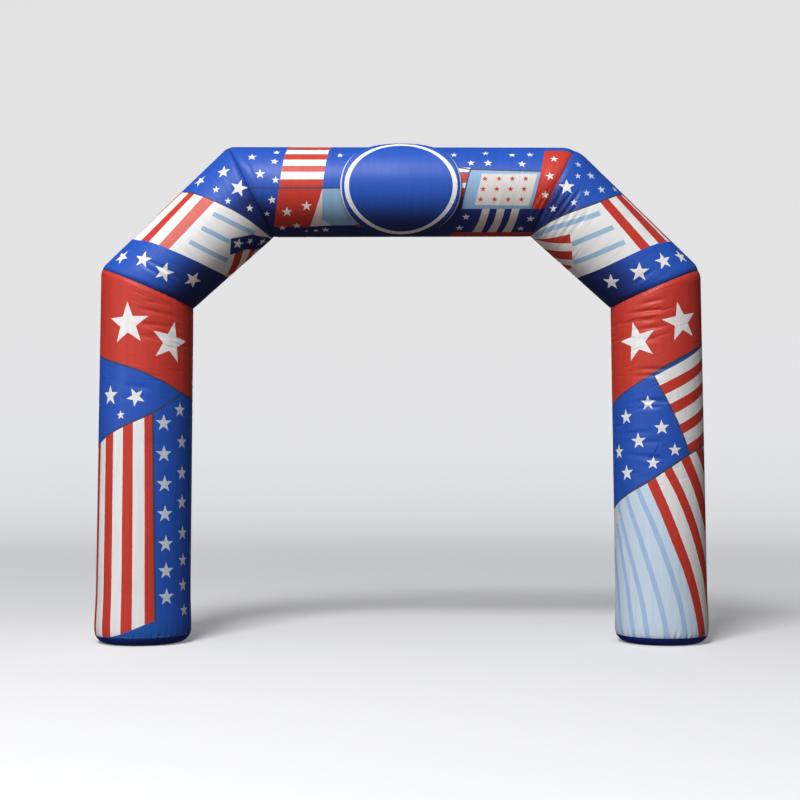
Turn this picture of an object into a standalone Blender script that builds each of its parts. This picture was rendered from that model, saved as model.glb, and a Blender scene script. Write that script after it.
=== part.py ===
"""Inflatable arch: a blown-up sleeve of printed polyester that stands on two round base panels.

Metres, +Z up, +X along the width of the arch. The front, with the round badge, faces -Y. The origin is on
the ground, midway between the legs. The sleeve is sewn from five straight lengths that meet at mitred seams,
and every length is one filled solid with its drawn-in seams, rounded corners and creases.
"""

import math
from collections import namedtuple

import bmesh
import bpy
from mathutils import Quaternion, Vector

# The sleeve's centreline turns at its joints. From the left base, over the top, to the right base:
# x and z, the sleeve's radius, the radius of its rounded outer corner, how deep the seam draws in, and how
# far the seam's plane is shifted along X and leans from an even mitre, in degrees.
Joint = namedtuple("Joint", "x z radius corner tuck shift lean")
JOINTS = (
    Joint(-2.566, 0.000, 0.466, 0.00, 0.000, 0.000, 0.0),
    Joint(-2.552, 3.530, 0.460, 0.14, 0.012, 0.000, 0.0),
    Joint(-1.550, 4.515, 0.452, 0.10, 0.020, 0.038, 4.5),
    Joint(1.572, 4.515, 0.446, 0.36, 0.008, -0.030, -4.5),
    Joint(2.571, 3.530, 0.450, 0.26, 0.012, 0.000, 0.0),
    Joint(2.603, 0.000, 0.450, 0.00, 0.000, 0.000, 0.0),
)

# The five lengths in the same order, each between one joint and the next. The mesh has close rings within a
# reach of each end, where the creases are.
Length = namedtuple("Length", "name first_reach second_reach")
LENGTHS = (
    Length("leg_left", 0.06, 0.46),
    Length("shoulder_left", 0.34, 0.28),
    Length("crossbar", 0.20, 0.34),
    Length("shoulder_right", 0.44, 0.20),
    Length("leg_right", 0.50, 0.06),
)
CLOSE_STEP = 0.031
WIDE_STEP = 0.230
STEP_GROWTH = 0.50  # metres of step for each metre beyond the reach

AROUND = 40  # mesh points round the sleeve
SEAM_GAP = 0.0003  # between two pieces that are sewn together
TUCK_REACH = 0.030  # a drawn-in seam eases out over this length
HALF_TURN = math.radians(22.3)  # between a length's axis and the square of its mitred seam

# The feet: the leg's lower edge rolls in over the base panel, and the leg spreads a little above it.
BASE_SEAM = 0.080  # height of the seam between leg and base panel
BASE_ROLL_HEIGHT = 0.120
BASE_ROLL_INSET = 0.118
FOOT_SPREAD = 0.010
FOOT_SPREAD_HEIGHT = 0.170
FOOT_SPREAD_REACH = 0.200
PUCKER_DEPTH = 0.0035  # gathers along the base seam, one for every second mesh point
PUCKER_REACH = 0.070
BASE_PANEL_HEIGHTS = (0.000, 0.007, 0.020, 0.045)

# Creases as they show from the front. Each runs from one point to another of its length: s is measured along
# the axis from the length's first joint, and a runs across, from -1 at the inside of the arch to 1 at its
# outside. Depth is negative where the cloth stands up in a ridge. The back has the same creases, weaker.
Crease = namedtuple("Crease", "length s_from a_from s_to a_to half_width depth")
CREASES = (
    # under the left lower seam, then lower down
    Crease("leg_left", 3.305, -0.75, 3.360, -0.05, 0.022, 0.010),
    Crease("leg_left", 3.195, -0.95, 3.285, 0.08, 0.022, 0.013),
    Crease("leg_left", 3.095, -1.02, 3.135, 0.12, 0.024, 0.013),
    Crease("leg_left", 3.000, -0.75, 3.012, 0.15, 0.028, 0.008),
    Crease("leg_left", 2.500, -0.35, 2.530, 0.35, 0.032, 0.007),
    Crease("leg_left", 1.950, -0.75, 1.970, 0.00, 0.036, 0.005),
    # over the left lower seam, in the star band
    Crease("shoulder_left", 0.260, -0.65, 0.120, 0.42, 0.022, 0.011),
    Crease("shoulder_left", 0.345, -0.85, 0.205, 0.36, 0.024, 0.011),
    # below the left upper seam
    Crease("shoulder_left", 1.150, -1.02, 1.325, 0.25, 0.026, 0.012),
    Crease("shoulder_left", 1.085, -1.02, 1.190, 0.00, 0.026, 0.009),
    # beside the left upper seam, on the crossbar: a soft ridge and a short crease
    Crease("crossbar", 0.262, -0.70, -0.040, 0.80, 0.034, -0.011),
    Crease("crossbar", 0.300, -1.02, 0.180, -0.10, 0.022, 0.010),
    # the fan that gathers at the right upper seam's inner corner, first on the crossbar
    Crease("crossbar", 2.862, -1.02, 3.140, 0.34, 0.020, 0.016),
    Crease("crossbar", 2.822, -0.90, 3.065, 0.12, 0.020, 0.014),
    Crease("crossbar", 2.776, -0.80, 2.968, -0.05, 0.020, 0.010),
    # then on the shoulder
    Crease("shoulder_right", 0.165, -0.90, 0.030, 0.16, 0.020, 0.017),
    Crease("shoulder_right", 0.215, -1.02, 0.132, 0.18, 0.020, 0.021),
    Crease("shoulder_right", 0.275, -1.02, 0.172, 0.34, 0.022, 0.021),
    Crease("shoulder_right", 0.335, -1.02, 0.240, 0.15, 0.022, 0.015),
    Crease("shoulder_right", 0.385, -0.97, 0.325, -0.08, 0.020, 0.012),
    Crease("shoulder_right", 0.440, -0.92, 0.385, 0.10, 0.020, 0.011),
    # over the right lower seam, in the star band
    Crease("shoulder_right", 1.190, -0.60, 1.260, 0.20, 0.026, 0.009),
    # under the right lower seam, deep and level, with a ridge under the deepest
    Crease("leg_right", 0.215, -0.65, 0.150, 0.10, 0.020, 0.012),
    Crease("leg_right", 0.288, -0.88, 0.256, 0.15, 0.020, 0.022),
    Crease("leg_right", 0.328, -0.78, 0.298, 0.10, 0.018, -0.011),
    Crease("leg_right", 0.380, -1.02, 0.350, -0.10, 0.020, 0.016),
    Crease("leg_right", 0.462, -0.85, 0.420, 0.15, 0.022, 0.015),
    Crease("leg_right", 0.560, -0.80, 0.545, -0.05, 0.028, 0.009),
    # and lower down
    Crease("leg_right", 0.845, -0.75, 0.838, 0.10, 0.022, 0.014),
    Crease("leg_right", 0.910, -0.80, 0.898, 0.00, 0.022, 0.013),
    Crease("leg_right", 1.170, -0.75, 1.150, 0.10, 0.032, 0.008),
    Crease("leg_right", 1.660, -0.75, 1.725, 0.30, 0.032, 0.008),
)
CREASE_FADE = 0.35  # share of a crease's run over which each end fades out
BACK_CREASE = 0.7  # depth of the same creases at the back

# The badge: a round pad that wraps over the front of the crossbar.
BADGE_X = 0.004
BADGE_ANGLE = math.radians(-4.4)  # its centre, from straight ahead, towards the underside
BADGE_RADIUS = 0.600  # measured over its curved face
BADGE_THICKNESS = 0.061
BADGE_EDGE = 0.042  # width of the rounded edge
BADGE_EDGE_STEPS = 5
BADGE_FACE_RINGS = (0.20, 0.38, 0.50)
BADGE_AROUND = 44
BADGE_ROOT = 0.060  # the uncut pad reaches this far into the sleeve

SHARP_ANGLE = math.radians(65)  # only the sewn edges are sharper than this
FRONT = Vector((0.0, -1.0, 0.0))
UP = Vector((0.0, 0.0, 1.0))

# name: base colour (linear), roughness, for the materials
FINISHES = {
    "leg": ((0.540, 0.045, 0.033), 0.45),
    "shoulder": ((0.024, 0.090, 0.430), 0.42),
    "crossbar": ((0.024, 0.090, 0.430), 0.42),
    "base": ((0.008, 0.018, 0.090), 0.55),
    "badge": ((0.020, 0.085, 0.400), 0.42),
}


def smooth_step(value):
    value = min(max(value, 0.0), 1.0)
    return value * value * (3.0 - 2.0 * value)


def bell(distance, reach):
    return math.exp(-((distance / reach) ** 2))


class Sleeve:
    """One straight length of the sleeve. Angle 0 is the front, a quarter turn is the outside of the arch."""

    def __init__(self, index):
        self.name = LENGTHS[index].name
        self.reaches = LENGTHS[index].first_reach, LENGTHS[index].second_reach
        self.joints = JOINTS[index], JOINTS[index + 1]
        self.origin, self.end = (Vector((joint.x, 0.0, joint.z)) for joint in self.joints)
        self.length = (self.end - self.origin).length
        self.along = (self.end - self.origin) / self.length
        self.outward = Vector((-self.along.z, 0.0, self.along.x))
        self.seams = seam_plane(index), seam_plane(index + 1)
        self.sections = self.end_section(0), self.end_section(1)
        self.creases = [crease for crease in CREASES if crease.length == self.name]

    def direction(self, angle):
        return FRONT * math.cos(angle) + self.outward * math.sin(angle)

    def seam_station(self, end, offset, gap=SEAM_GAP):
        """Where the line that runs beside the axis at this offset meets the seam's plane."""
        point, normal = self.seams[end]
        inward = 0.5 * gap if end == 0 else -0.5 * gap
        return ((point - self.origin - offset).dot(normal) + inward) / self.along.dot(normal)

    def end_section(self, end):
        """The section at one end: its depth, its width, both from the middle, and how far out its middle is.

        At a leaning seam the level length stays round, and the sloping one gets wide enough to meet it.
        """
        joint = self.joints[end]
        if not joint.lean or self.along.z == 0.0:
            return Vector((joint.radius, joint.radius, 0.0))
        normal = self.seams[end][1]
        width = joint.radius * self.along.dot(normal) / normal.x
        return Vector((joint.radius, width, joint.shift * self.outward.x))

    def plain_radius(self, share, angle):
        """The smooth skin's distance from the axis: it tapers from one end's section to the other's."""
        depth, width, middle = self.sections[0].lerp(self.sections[1], share)
        across = math.sin(angle) / width
        square = across**2 + (math.cos(angle) / depth) ** 2
        linear = across * middle / width
        return (linear + math.sqrt(linear**2 + square * (1.0 - (middle / width) ** 2))) / square

    def radius(self, share, angle):
        """The skin's distance from the axis, with its seams, corners, foot and creases."""
        radius = self.plain_radius(share, angle)
        offset = self.direction(angle) * radius
        starts, ends = (self.seam_station(end, offset) for end in (0, 1))
        station = starts + (ends - starts) * share
        outside = max(math.sin(angle), 0.0)
        tucked = abs(math.cos(angle))  # the seam draws in at the front and the back
        for joint, section, seam in zip(self.joints, self.sections, (starts, ends)):
            if joint.tuck:
                distance = abs(station - seam)
                radius -= joint.tuck * tucked * bell(distance, TUCK_REACH)
                radius -= outside * corner_cut(distance, joint.corner) * section.y / section.x
        height = (self.origin + self.along * station).z
        return radius + foot_shape(height, angle) - self.crease_depth(station, angle)

    def crease_depth(self, station, angle):
        across = math.sin(angle)
        depth = 0.0
        for crease in self.creases:
            run = (across - crease.a_from) / (crease.a_to - crease.a_from)
            if 0.0 < run < 1.0:
                middle = crease.s_from + (crease.s_to - crease.s_from) * run
                fade = smooth_step(run / CREASE_FADE) * smooth_step((1.0 - run) / CREASE_FADE)
                depth += crease.depth * fade * bell(station - middle, crease.half_width)
        return depth if math.cos(angle) > 0.0 else depth * BACK_CREASE

    def point(self, share, angle, grow=0.0):
        """A point of the skin: share runs from 0 at the first seam to 1 at the second."""
        offset = self.direction(angle) * (self.radius(share, angle) + grow)
        starts, ends = (self.seam_station(end, offset) for end in (0, 1))
        return self.origin + offset + self.along * (starts + (ends - starts) * share)


def seam_plane(index):
    """A point and a normal for the seam at a joint: the mitre's plane, or the level base seam."""
    joint = JOINTS[index]
    if index in (0, len(JOINTS) - 1):
        return Vector((joint.x, 0.0, BASE_SEAM)), UP if index == 0 else -UP
    before, here, after = (Vector((j.x, 0.0, j.z)) for j in JOINTS[index - 1 : index + 2])
    normal = ((here - before).normalized() + (after - here).normalized()).normalized()
    normal.rotate(Quaternion((0.0, -1.0, 0.0), math.radians(joint.lean)))
    return here + Vector((joint.shift, 0.0, 0.0)), normal


def corner_cut(distance, corner):
    """How far an arc of this radius stands in from a corner that turns by twice HALF_TURN."""
    reach = corner * math.tan(HALF_TURN)
    return (reach - distance) ** 2 / (2.0 * corner) if distance < reach else 0.0


def roll_inset(height):
    """How far the rolled lower edge stands in from the upright skin, a quarter of an ellipse."""
    rolled = min(max((BASE_ROLL_HEIGHT - height) / BASE_ROLL_HEIGHT, 0.0), 1.0)
    return BASE_ROLL_INSET * (1.0 - math.sqrt(1.0 - rolled * rolled))


def foot_shape(height, angle):
    """How far the skin stands out or in near the ground: the spread, the rolled edge and its gathers."""
    shape = FOOT_SPREAD * bell(height - FOOT_SPREAD_HEIGHT, FOOT_SPREAD_REACH) - roll_inset(height)
    gathers = math.cos(angle * AROUND / 2)
    return shape - PUCKER_DEPTH * (0.5 + 0.5 * gathers) * bell(height - BASE_SEAM, PUCKER_REACH)


def ring_shares(sleeve):
    """Shares from 0 to 1 along a length, in close steps near its ends and wide steps between them."""
    stations = [0.0]
    while stations[-1] < sleeve.length:
        from_ends = stations[-1], sleeve.length - stations[-1]
        beyond = min(max(far - reach, 0.0) for far, reach in zip(from_ends, sleeve.reaches))
        stations.append(stations[-1] + min(CLOSE_STEP + STEP_GROWTH * beyond, WIDE_STEP))
    return [station / stations[-1] for station in stations]


def loft(rings):
    """A closed body through rings of points. Each ring turns the same way, and flat ends close it."""
    mesh = bmesh.new()
    rows = [[mesh.verts.new(point) for point in ring] for ring in rings]
    count = len(rows[0])
    for row, following in zip(rows, rows[1:]):
        for k in range(count):
            mesh.faces.new((row[k], following[k], following[(k + 1) % count], row[(k + 1) % count]))
    mesh.faces.new(rows[0])
    mesh.faces.new(reversed(rows[-1]))
    bmesh.ops.recalc_face_normals(mesh, faces=mesh.faces)
    return mesh


def add_object(name, mesh, finish):
    data = bpy.data.meshes.new(name)
    mesh.to_mesh(data)
    mesh.free()
    data.shade_smooth()
    data.set_sharp_from_angle(angle=SHARP_ANGLE)
    data.materials.append(make_material(name, *FINISHES[finish]))
    thing = bpy.data.objects.new(name, data)
    bpy.context.scene.collection.objects.link(thing)
    return thing


def make_material(name, colour, roughness):
    material = bpy.data.materials.new(name)
    material.use_nodes = True
    shader = material.node_tree.nodes["Principled BSDF"]
    shader.inputs["Base Color"].default_value = (*colour, 1.0)
    shader.inputs["Roughness"].default_value = roughness
    shader.inputs["Metallic"].default_value = 0.0
    return material


def angles(count):
    return [math.tau * step / count for step in range(count)]


def make_length(sleeve, name, grow=0.0):
    rings = [[sleeve.point(share, angle, grow) for angle in angles(AROUND)] for share in ring_shares(sleeve)]
    return add_object(name, loft(rings), sleeve.name.split("_")[0])


def make_base(sleeve, end, name):
    """The base panel under one leg: flat on the ground, then rolling up to the seam at that leg's end."""
    edge = [sleeve.point(float(end), angle) for angle in angles(AROUND)]
    middle = sum(edge, Vector()) / AROUND
    spokes = [point - middle for point in edge]
    mean = sum(spoke.length for spoke in spokes) / AROUND
    middle.z = 0.0
    rings = []
    for height in (*BASE_PANEL_HEIGHTS, BASE_SEAM - 0.5 * SEAM_GAP):
        inset = roll_inset(height) - roll_inset(BASE_SEAM)
        gathered = height / BASE_SEAM
        radii = [mean + (spoke.length - mean) * gathered - inset for spoke in spokes]
        rings.append(
            [middle + UP * height + spoke.normalized() * radius for spoke, radius in zip(spokes, radii)]
        )
    return add_object(name, loft(rings), "base")


def badge_profile():
    """The pad's section from its middle outwards: distance over the face, and height above the sleeve."""
    profile = [(radius, BADGE_THICKNESS) for radius in BADGE_FACE_RINGS]
    for step in range(BADGE_EDGE_STEPS + 1):
        turn = 0.5 * math.pi * step / BADGE_EDGE_STEPS
        out = BADGE_RADIUS - BADGE_EDGE * (1.0 - math.sin(turn))
        profile.append((out, BADGE_THICKNESS * math.cos(turn)))
    profile.append((BADGE_RADIUS, -BADGE_ROOT))
    return profile


def make_badge(sleeve):
    face_radius = sleeve.joints[0].radius + BADGE_THICKNESS

    def place(distance, turn, height):
        angle = BADGE_ANGLE + distance * math.sin(turn) / face_radius
        radius = face_radius - BADGE_THICKNESS + height
        return Vector((BADGE_X + distance * math.cos(turn), 0.0, sleeve.origin.z)) + sleeve.direction(angle) * radius

    mesh = bmesh.new()
    middle = mesh.verts.new(place(0.0, 0.0, BADGE_THICKNESS))
    root = mesh.verts.new(place(0.0, 0.0, -BADGE_ROOT))
    rows = [
        [mesh.verts.new(place(distance, turn, height)) for turn in angles(BADGE_AROUND)]
        for distance, height in badge_profile()
    ]
    for k in range(BADGE_AROUND):
        after = (k + 1) % BADGE_AROUND
        mesh.faces.new((middle, rows[0][k], rows[0][after]))
        for row, following in zip(rows, rows[1:]):
            mesh.faces.new((row[k], following[k], following[after], row[after]))
        mesh.faces.new((rows[-1][k], root, rows[-1][after]))
    bmesh.ops.recalc_face_normals(mesh, faces=mesh.faces)
    return add_object("badge", mesh, "badge")


def cut(thing, cutter):
    """Takes the cutter's shape out of the thing, and hides the cutter."""
    modifier = thing.modifiers.new("seat", "BOOLEAN")
    modifier.operation = "DIFFERENCE"
    modifier.object = cutter
    cutter.hide_render = True
    cutter.display_type = "WIRE"


def main():
    for thing in list(bpy.data.objects):
        bpy.data.objects.remove(thing, do_unlink=True)
    sleeves = {length.name: Sleeve(index) for index, length in enumerate(LENGTHS)}
    for name, sleeve in sleeves.items():
        make_length(sleeve, name)
    make_base(sleeves["leg_left"], 0, "base_left")
    make_base(sleeves["leg_right"], 1, "base_right")
    badge = make_badge(sleeves["crossbar"])
    cut(badge, make_length(sleeves["crossbar"], "badge_seat_cutter", grow=SEAM_GAP))


main()
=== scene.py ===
# %% [markdown]
# # A blown-up entrance arch, dressed in Blender
#
# The real thing is one long sleeve of thin printed polyester. A fan keeps it full of air, and it stands on
# two round feet. The solids from the CAD step already have its size, its mitred corners and its main
# creases. This lesson gives it what a solid lacks: a skin with finer folds, the patchwork print with its
# crisp edges, the weave, the seams' thread, and soft light.

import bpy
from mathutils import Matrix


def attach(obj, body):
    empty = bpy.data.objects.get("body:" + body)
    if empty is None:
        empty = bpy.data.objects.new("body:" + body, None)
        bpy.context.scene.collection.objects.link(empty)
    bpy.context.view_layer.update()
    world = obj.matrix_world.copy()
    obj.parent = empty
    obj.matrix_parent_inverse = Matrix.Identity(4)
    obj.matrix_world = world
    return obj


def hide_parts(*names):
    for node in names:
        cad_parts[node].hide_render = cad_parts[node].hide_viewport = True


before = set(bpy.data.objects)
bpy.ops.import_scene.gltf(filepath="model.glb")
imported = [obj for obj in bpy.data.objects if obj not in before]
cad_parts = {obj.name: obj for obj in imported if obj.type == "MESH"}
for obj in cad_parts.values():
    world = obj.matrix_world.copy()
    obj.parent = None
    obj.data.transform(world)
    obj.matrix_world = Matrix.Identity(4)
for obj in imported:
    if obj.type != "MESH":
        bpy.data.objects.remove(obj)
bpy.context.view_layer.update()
print("solids:", ", ".join(sorted(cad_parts)))

# %% What the lesson uses
import math
from collections import namedtuple

import bmesh
import bpy
import numpy as np
from mathutils import Vector
from mathutils.geometry import delaunay_2d_cdt

print("Blender", bpy.app.version_string)

# %% [markdown]
# ## The camera first
#
# A camera that stands where the photographer stood makes every later comparison easy. Its height, tilt and
# focal length were worked out from the arch's outline: parallel tubes and known sizes give them away.

# %% Stand the camera in front of the arch
CAMERA_PLACE = (0.0, -14.0, 1.65)
CAMERA_TILT = math.radians(3.1)  # upwards
FOCAL_PIXELS, FRAME_PIXELS, SENSOR = 1395.0, 800.0, 36.0


def new_object(name, data):
    """An object of the scene that shows the data."""
    made = bpy.data.objects.new(name, data)
    bpy.context.scene.collection.objects.link(made)
    return made


lens = bpy.data.cameras.new("camera")
lens.sensor_width = SENSOR
lens.lens = SENSOR * FOCAL_PIXELS / FRAME_PIXELS
lens.shift_x = -0.5 / FRAME_PIXELS  # half a pixel, as the photograph's framing needs
camera = new_object("camera", lens)
camera.location = CAMERA_PLACE
camera.rotation_euler = (math.pi / 2 + CAMERA_TILT, 0.0, 0.0)
bpy.context.scene.camera = camera
print(f"lens {lens.lens:.1f} mm, {-CAMERA_PLACE[1]:.0f} m in front")

# %% [markdown]
# ## The line of the sleeve
#
# Five straight lengths meet at four mitred seams. The same short table as in the solid's source gives each
# corner of the centre line, the sleeve's radius there, how round the outer corner is and how deep the seam
# draws in. The two upper seams also lean a few degrees from an even mitre, so the sloping lengths get a
# wider section there. A place on the skin has two numbers: the distance along a length, and the angle round
# it. Angle 0 looks to the front, 90 degrees to the outside of the arch, and -90 to its inside.

# %% Corners and lengths
Joint = namedtuple("Joint", "x z radius corner tuck shift lean")
JOINTS = (
    Joint(-2.566, 0.000, 0.466, 0.00, 0.000, 0.000, 0.0),
    Joint(-2.552, 3.530, 0.460, 0.14, 0.012, 0.000, 0.0),
    Joint(-1.550, 4.515, 0.452, 0.10, 0.020, 0.038, 4.5),
    Joint(1.572, 4.515, 0.446, 0.36, 0.008, -0.030, -4.5),
    Joint(2.571, 3.530, 0.450, 0.26, 0.012, 0.000, 0.0),
    Joint(2.603, 0.000, 0.450, 0.00, 0.000, 0.000, 0.0),
)
NAMES = ("leg_left", "shoulder_left", "crossbar", "shoulder_right", "leg_right")
FRONT, UP = np.array((0.0, -1.0, 0.0)), np.array((0.0, 0.0, 1.0))
SEAM_GAP = 0.0003
BASE_SEAM = 0.080  # height of the seam between a leg and its base panel


def joint_place(index):
    return np.array((JOINTS[index].x, 0.0, JOINTS[index].z))


def unit(vector):
    return vector / np.linalg.norm(vector)


def seam_plane(index):
    """A point and a normal for the seam at a joint: the mitre's plane, or the level base seam."""
    here = joint_place(index)
    if index in (0, len(JOINTS) - 1):
        return np.array((here[0], 0.0, BASE_SEAM)), UP if index == 0 else -UP
    normal = unit(here - joint_place(index - 1)) + unit(joint_place(index + 1) - here)
    heading = math.atan2(normal[2], normal[0]) + math.radians(JOINTS[index].lean)
    return here + (JOINTS[index].shift, 0.0, 0.0), np.array((math.cos(heading), 0.0, math.sin(heading)))


class Length:
    """One straight length of the sleeve."""

    def __init__(self, index):
        self.name = NAMES[index]
        self.joints = JOINTS[index], JOINTS[index + 1]
        self.start = joint_place(index)
        run = joint_place(index + 1) - self.start
        self.run = np.linalg.norm(run)
        self.along = run / self.run
        self.outward = np.array((-self.along[2], 0.0, self.along[0]))
        self.seams = seam_plane(index), seam_plane(index + 1)
        self.sections = self.end_section(0), self.end_section(1)

    def end_section(self, end):
        """Half the section's depth, half its width, and how far out its middle is, at one end.

        At a leaning seam the level length stays round, and the sloping one gets wide enough to meet it.
        """
        joint = self.joints[end]
        if not joint.lean or self.along[2] == 0.0:
            return np.array((joint.radius, joint.radius, 0.0))
        normal = self.seams[end][1]
        width = joint.radius * (self.along @ normal) / normal[0]
        return np.array((joint.radius, width, joint.shift * self.outward[0]))

    def plain_radius(self, share, angle):
        """The smooth skin's distance from the axis: it tapers from one end's section to the other's."""
        first, last = self.sections
        share = np.broadcast_to(share, np.shape(angle))
        depth, width, middle = (near + (far - near) * share for near, far in zip(first, last))
        across = np.sin(angle) / width
        square = across**2 + (np.cos(angle) / depth) ** 2
        linear = across * middle / width
        return (linear + np.sqrt(linear**2 + square * (1.0 - (middle / width) ** 2))) / square

    def spoke(self, angle):
        return np.multiply.outer(np.cos(angle), FRONT) + np.multiply.outer(np.sin(angle), self.outward)

    def seam_station(self, end, radius, angle):
        """Where the line at this angle and radius meets the plane of a seam."""
        point, normal = self.seams[end]
        offset = self.spoke(angle) * np.expand_dims(radius, -1)
        inward = 0.5 * SEAM_GAP if end == 0 else -0.5 * SEAM_GAP
        return ((point - self.start - offset) @ normal + inward) / (self.along @ normal)

    def ends(self, angle):
        """Distances along the axis of the two seams, at the smooth skin."""
        return [self.seam_station(end, self.plain_radius(float(end), angle), angle) for end in (0, 1)]


LENGTHS = {name: Length(index) for index, name in enumerate(NAMES)}
print({name: round(float(length.run), 3) for name, length in LENGTHS.items()})

# %% [markdown]
# ## Folds
#
# Air pulls the cloth tight, so it has few folds. Most start where a seam holds the cloth back, at the
# inside of the corners, and some lie across the legs. Cloth simulation would scatter them anywhere, and a
# sleeve six metres wide would need millions of faces for it. A table of creases puts each where it belongs.
# A crease runs from one point to another, and pushes the skin in with a smooth bell. One with a negative
# depth is a ridge.

# %% Creases by table
# s: metres along the axis. a: across the front, from -1 at the arch's inside to 1 at its outside.
Crease = namedtuple("Crease", "s_from a_from s_to a_to half_width depth")
CREASES = {
    "leg_left": (
        Crease(3.305, -0.75, 3.360, -0.05, 0.022, 0.010),
        Crease(3.195, -0.95, 3.285, 0.08, 0.022, 0.013),
        Crease(3.095, -1.02, 3.135, 0.12, 0.024, 0.013),
        Crease(3.000, -0.75, 3.012, 0.15, 0.028, 0.008),
        Crease(2.500, -0.35, 2.530, 0.35, 0.032, 0.007),
        Crease(1.950, -0.75, 1.970, 0.00, 0.036, 0.005),
    ),
    "shoulder_left": (
        Crease(0.260, -0.65, 0.120, 0.42, 0.022, 0.011),
        Crease(0.345, -0.85, 0.205, 0.36, 0.024, 0.011),
        Crease(1.150, -1.02, 1.325, 0.25, 0.026, 0.012),
        Crease(1.085, -1.02, 1.190, 0.00, 0.026, 0.009),
    ),
    "crossbar": (
        Crease(0.262, -0.70, -0.040, 0.80, 0.034, -0.011),
        Crease(0.300, -1.02, 0.180, -0.10, 0.022, 0.010),
        Crease(2.862, -1.02, 3.140, 0.34, 0.020, 0.016),
        Crease(2.822, -0.90, 3.065, 0.12, 0.020, 0.014),
        Crease(2.776, -0.80, 2.968, -0.05, 0.020, 0.010),
    ),
    "shoulder_right": (
        Crease(0.165, -0.90, 0.030, 0.16, 0.020, 0.017),
        Crease(0.215, -1.02, 0.132, 0.18, 0.020, 0.021),
        Crease(0.275, -1.02, 0.172, 0.34, 0.022, 0.021),
        Crease(0.335, -1.02, 0.240, 0.15, 0.022, 0.015),
        Crease(0.385, -0.97, 0.325, -0.08, 0.020, 0.012),
        Crease(0.440, -0.92, 0.385, 0.10, 0.020, 0.011),
        Crease(1.190, -0.60, 1.260, 0.20, 0.026, 0.009),
    ),
    "leg_right": (
        Crease(0.215, -0.65, 0.150, 0.10, 0.020, 0.012),
        Crease(0.288, -0.88, 0.256, 0.15, 0.020, 0.022),
        Crease(0.328, -0.78, 0.298, 0.10, 0.018, -0.011),
        Crease(0.380, -1.02, 0.350, -0.10, 0.020, 0.016),
        Crease(0.462, -0.85, 0.420, 0.15, 0.022, 0.015),
        Crease(0.560, -0.80, 0.545, -0.05, 0.028, 0.009),
        Crease(0.845, -0.75, 0.838, 0.10, 0.022, 0.014),
        Crease(0.910, -0.80, 0.898, 0.00, 0.022, 0.013),
        Crease(1.170, -0.85, 1.150, 0.20, 0.024, 0.016),
        Crease(1.225, -0.70, 1.205, 0.00, 0.022, 0.012),
        Crease(1.470, -1.02, 1.455, -0.25, 0.022, 0.014),
        Crease(1.560, -0.90, 1.550, 0.00, 0.024, 0.012),
        Crease(1.660, -1.02, 1.725, 0.10, 0.024, 0.016),
    ),
}
CREASE_FADE = 0.35  # share of a crease's run over which each end fades out
FRONT_CREASE, BACK_CREASE = 0.65, 0.50  # how much of its depth a crease keeps, on cloth this thin
INSIDE_CREASE = 0.55  # and how much of that is left at the inside of the arch
INSIDE_START, INSIDE_RUN = 0.25, 0.35  # where that sets in, across the front, and over how much of it


def smooth_step(value):
    value = np.clip(value, 0.0, 1.0)
    return value * value * (3.0 - 2.0 * value)


def bell(distance, reach):
    return np.exp(-((distance / reach) ** 2))


def crease_depth(length, station, angle):
    across = np.sin(angle)
    depth = np.zeros_like(across)
    for crease in CREASES[length.name]:
        run = (across - crease.a_from) / (crease.a_to - crease.a_from)
        middle = crease.s_from + (crease.s_to - crease.s_from) * run
        fade = smooth_step(run / CREASE_FADE) * smooth_step((1.0 - run) / CREASE_FADE)
        depth += crease.depth * fade * bell(station - middle, crease.half_width)
    depth *= 1.0 - (1.0 - INSIDE_CREASE) * smooth_step((-across - INSIDE_START) / INSIDE_RUN)
    return depth * np.where(np.cos(angle) > 0.0, FRONT_CREASE, BACK_CREASE)


print("creases:", {name: len(rows) for name, rows in CREASES.items()})

# %% [markdown]
# A seam also gathers the cloth on both its sides in many short puckers, a hand's width long. There are far
# too many for a table, so a random generator with a fixed seed sets them out: more at the inside of each
# corner, where there is cloth to spare.

# %% Puckers along the seams
Pucker = namedtuple("Pucker", "end angle reach half_width depth slant")
PUCKER_PITCH = 0.060  # metres of seam for each pucker
PUCKER_REACH, PUCKER_WIDTH, PUCKER_DEPTH = (0.035, 0.110), (0.008, 0.016), (0.0010, 0.0034)
PUCKER_STRAY, PUCKER_SLANT = 0.4, 0.5  # shares of the pitch, and metres aside for each metre from the seam
PUCKERS_END = 0.30  # metres from the seam
CORNER_SLACK, FOOT_SLACK = 0.35, 0.90  # the least slack round a corner, and the even slack round a foot


def slack_at(angle, least):
    """How slack the cloth is, from 1 at the inside of the arch to the least at its outside."""
    return least + (1.0 - least) * smooth_step(0.5 - 0.8 * math.sin(angle))


def turn_between(angle, other):
    """The turn between two angles, by the shorter way."""
    return (angle - other + math.pi) % math.tau - math.pi


def seam_puckers(length, seed):
    chance = np.random.default_rng(seed)
    puckers = []
    for end, joint in enumerate(length.joints):
        count = int(math.tau * joint.radius / PUCKER_PITCH)
        stray = chance.uniform(-PUCKER_STRAY, PUCKER_STRAY, count)
        for angle in (np.arange(count) + stray) * math.tau / count:
            slack = slack_at(angle, CORNER_SLACK) if joint.tuck else FOOT_SLACK
            puckers.append(
                Pucker(
                    end,
                    angle,
                    chance.uniform(*PUCKER_REACH) * slack,
                    chance.uniform(*PUCKER_WIDTH),
                    chance.uniform(*PUCKER_DEPTH) * slack,
                    chance.uniform(-PUCKER_SLANT, PUCKER_SLANT),
                )
            )
    return puckers


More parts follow.
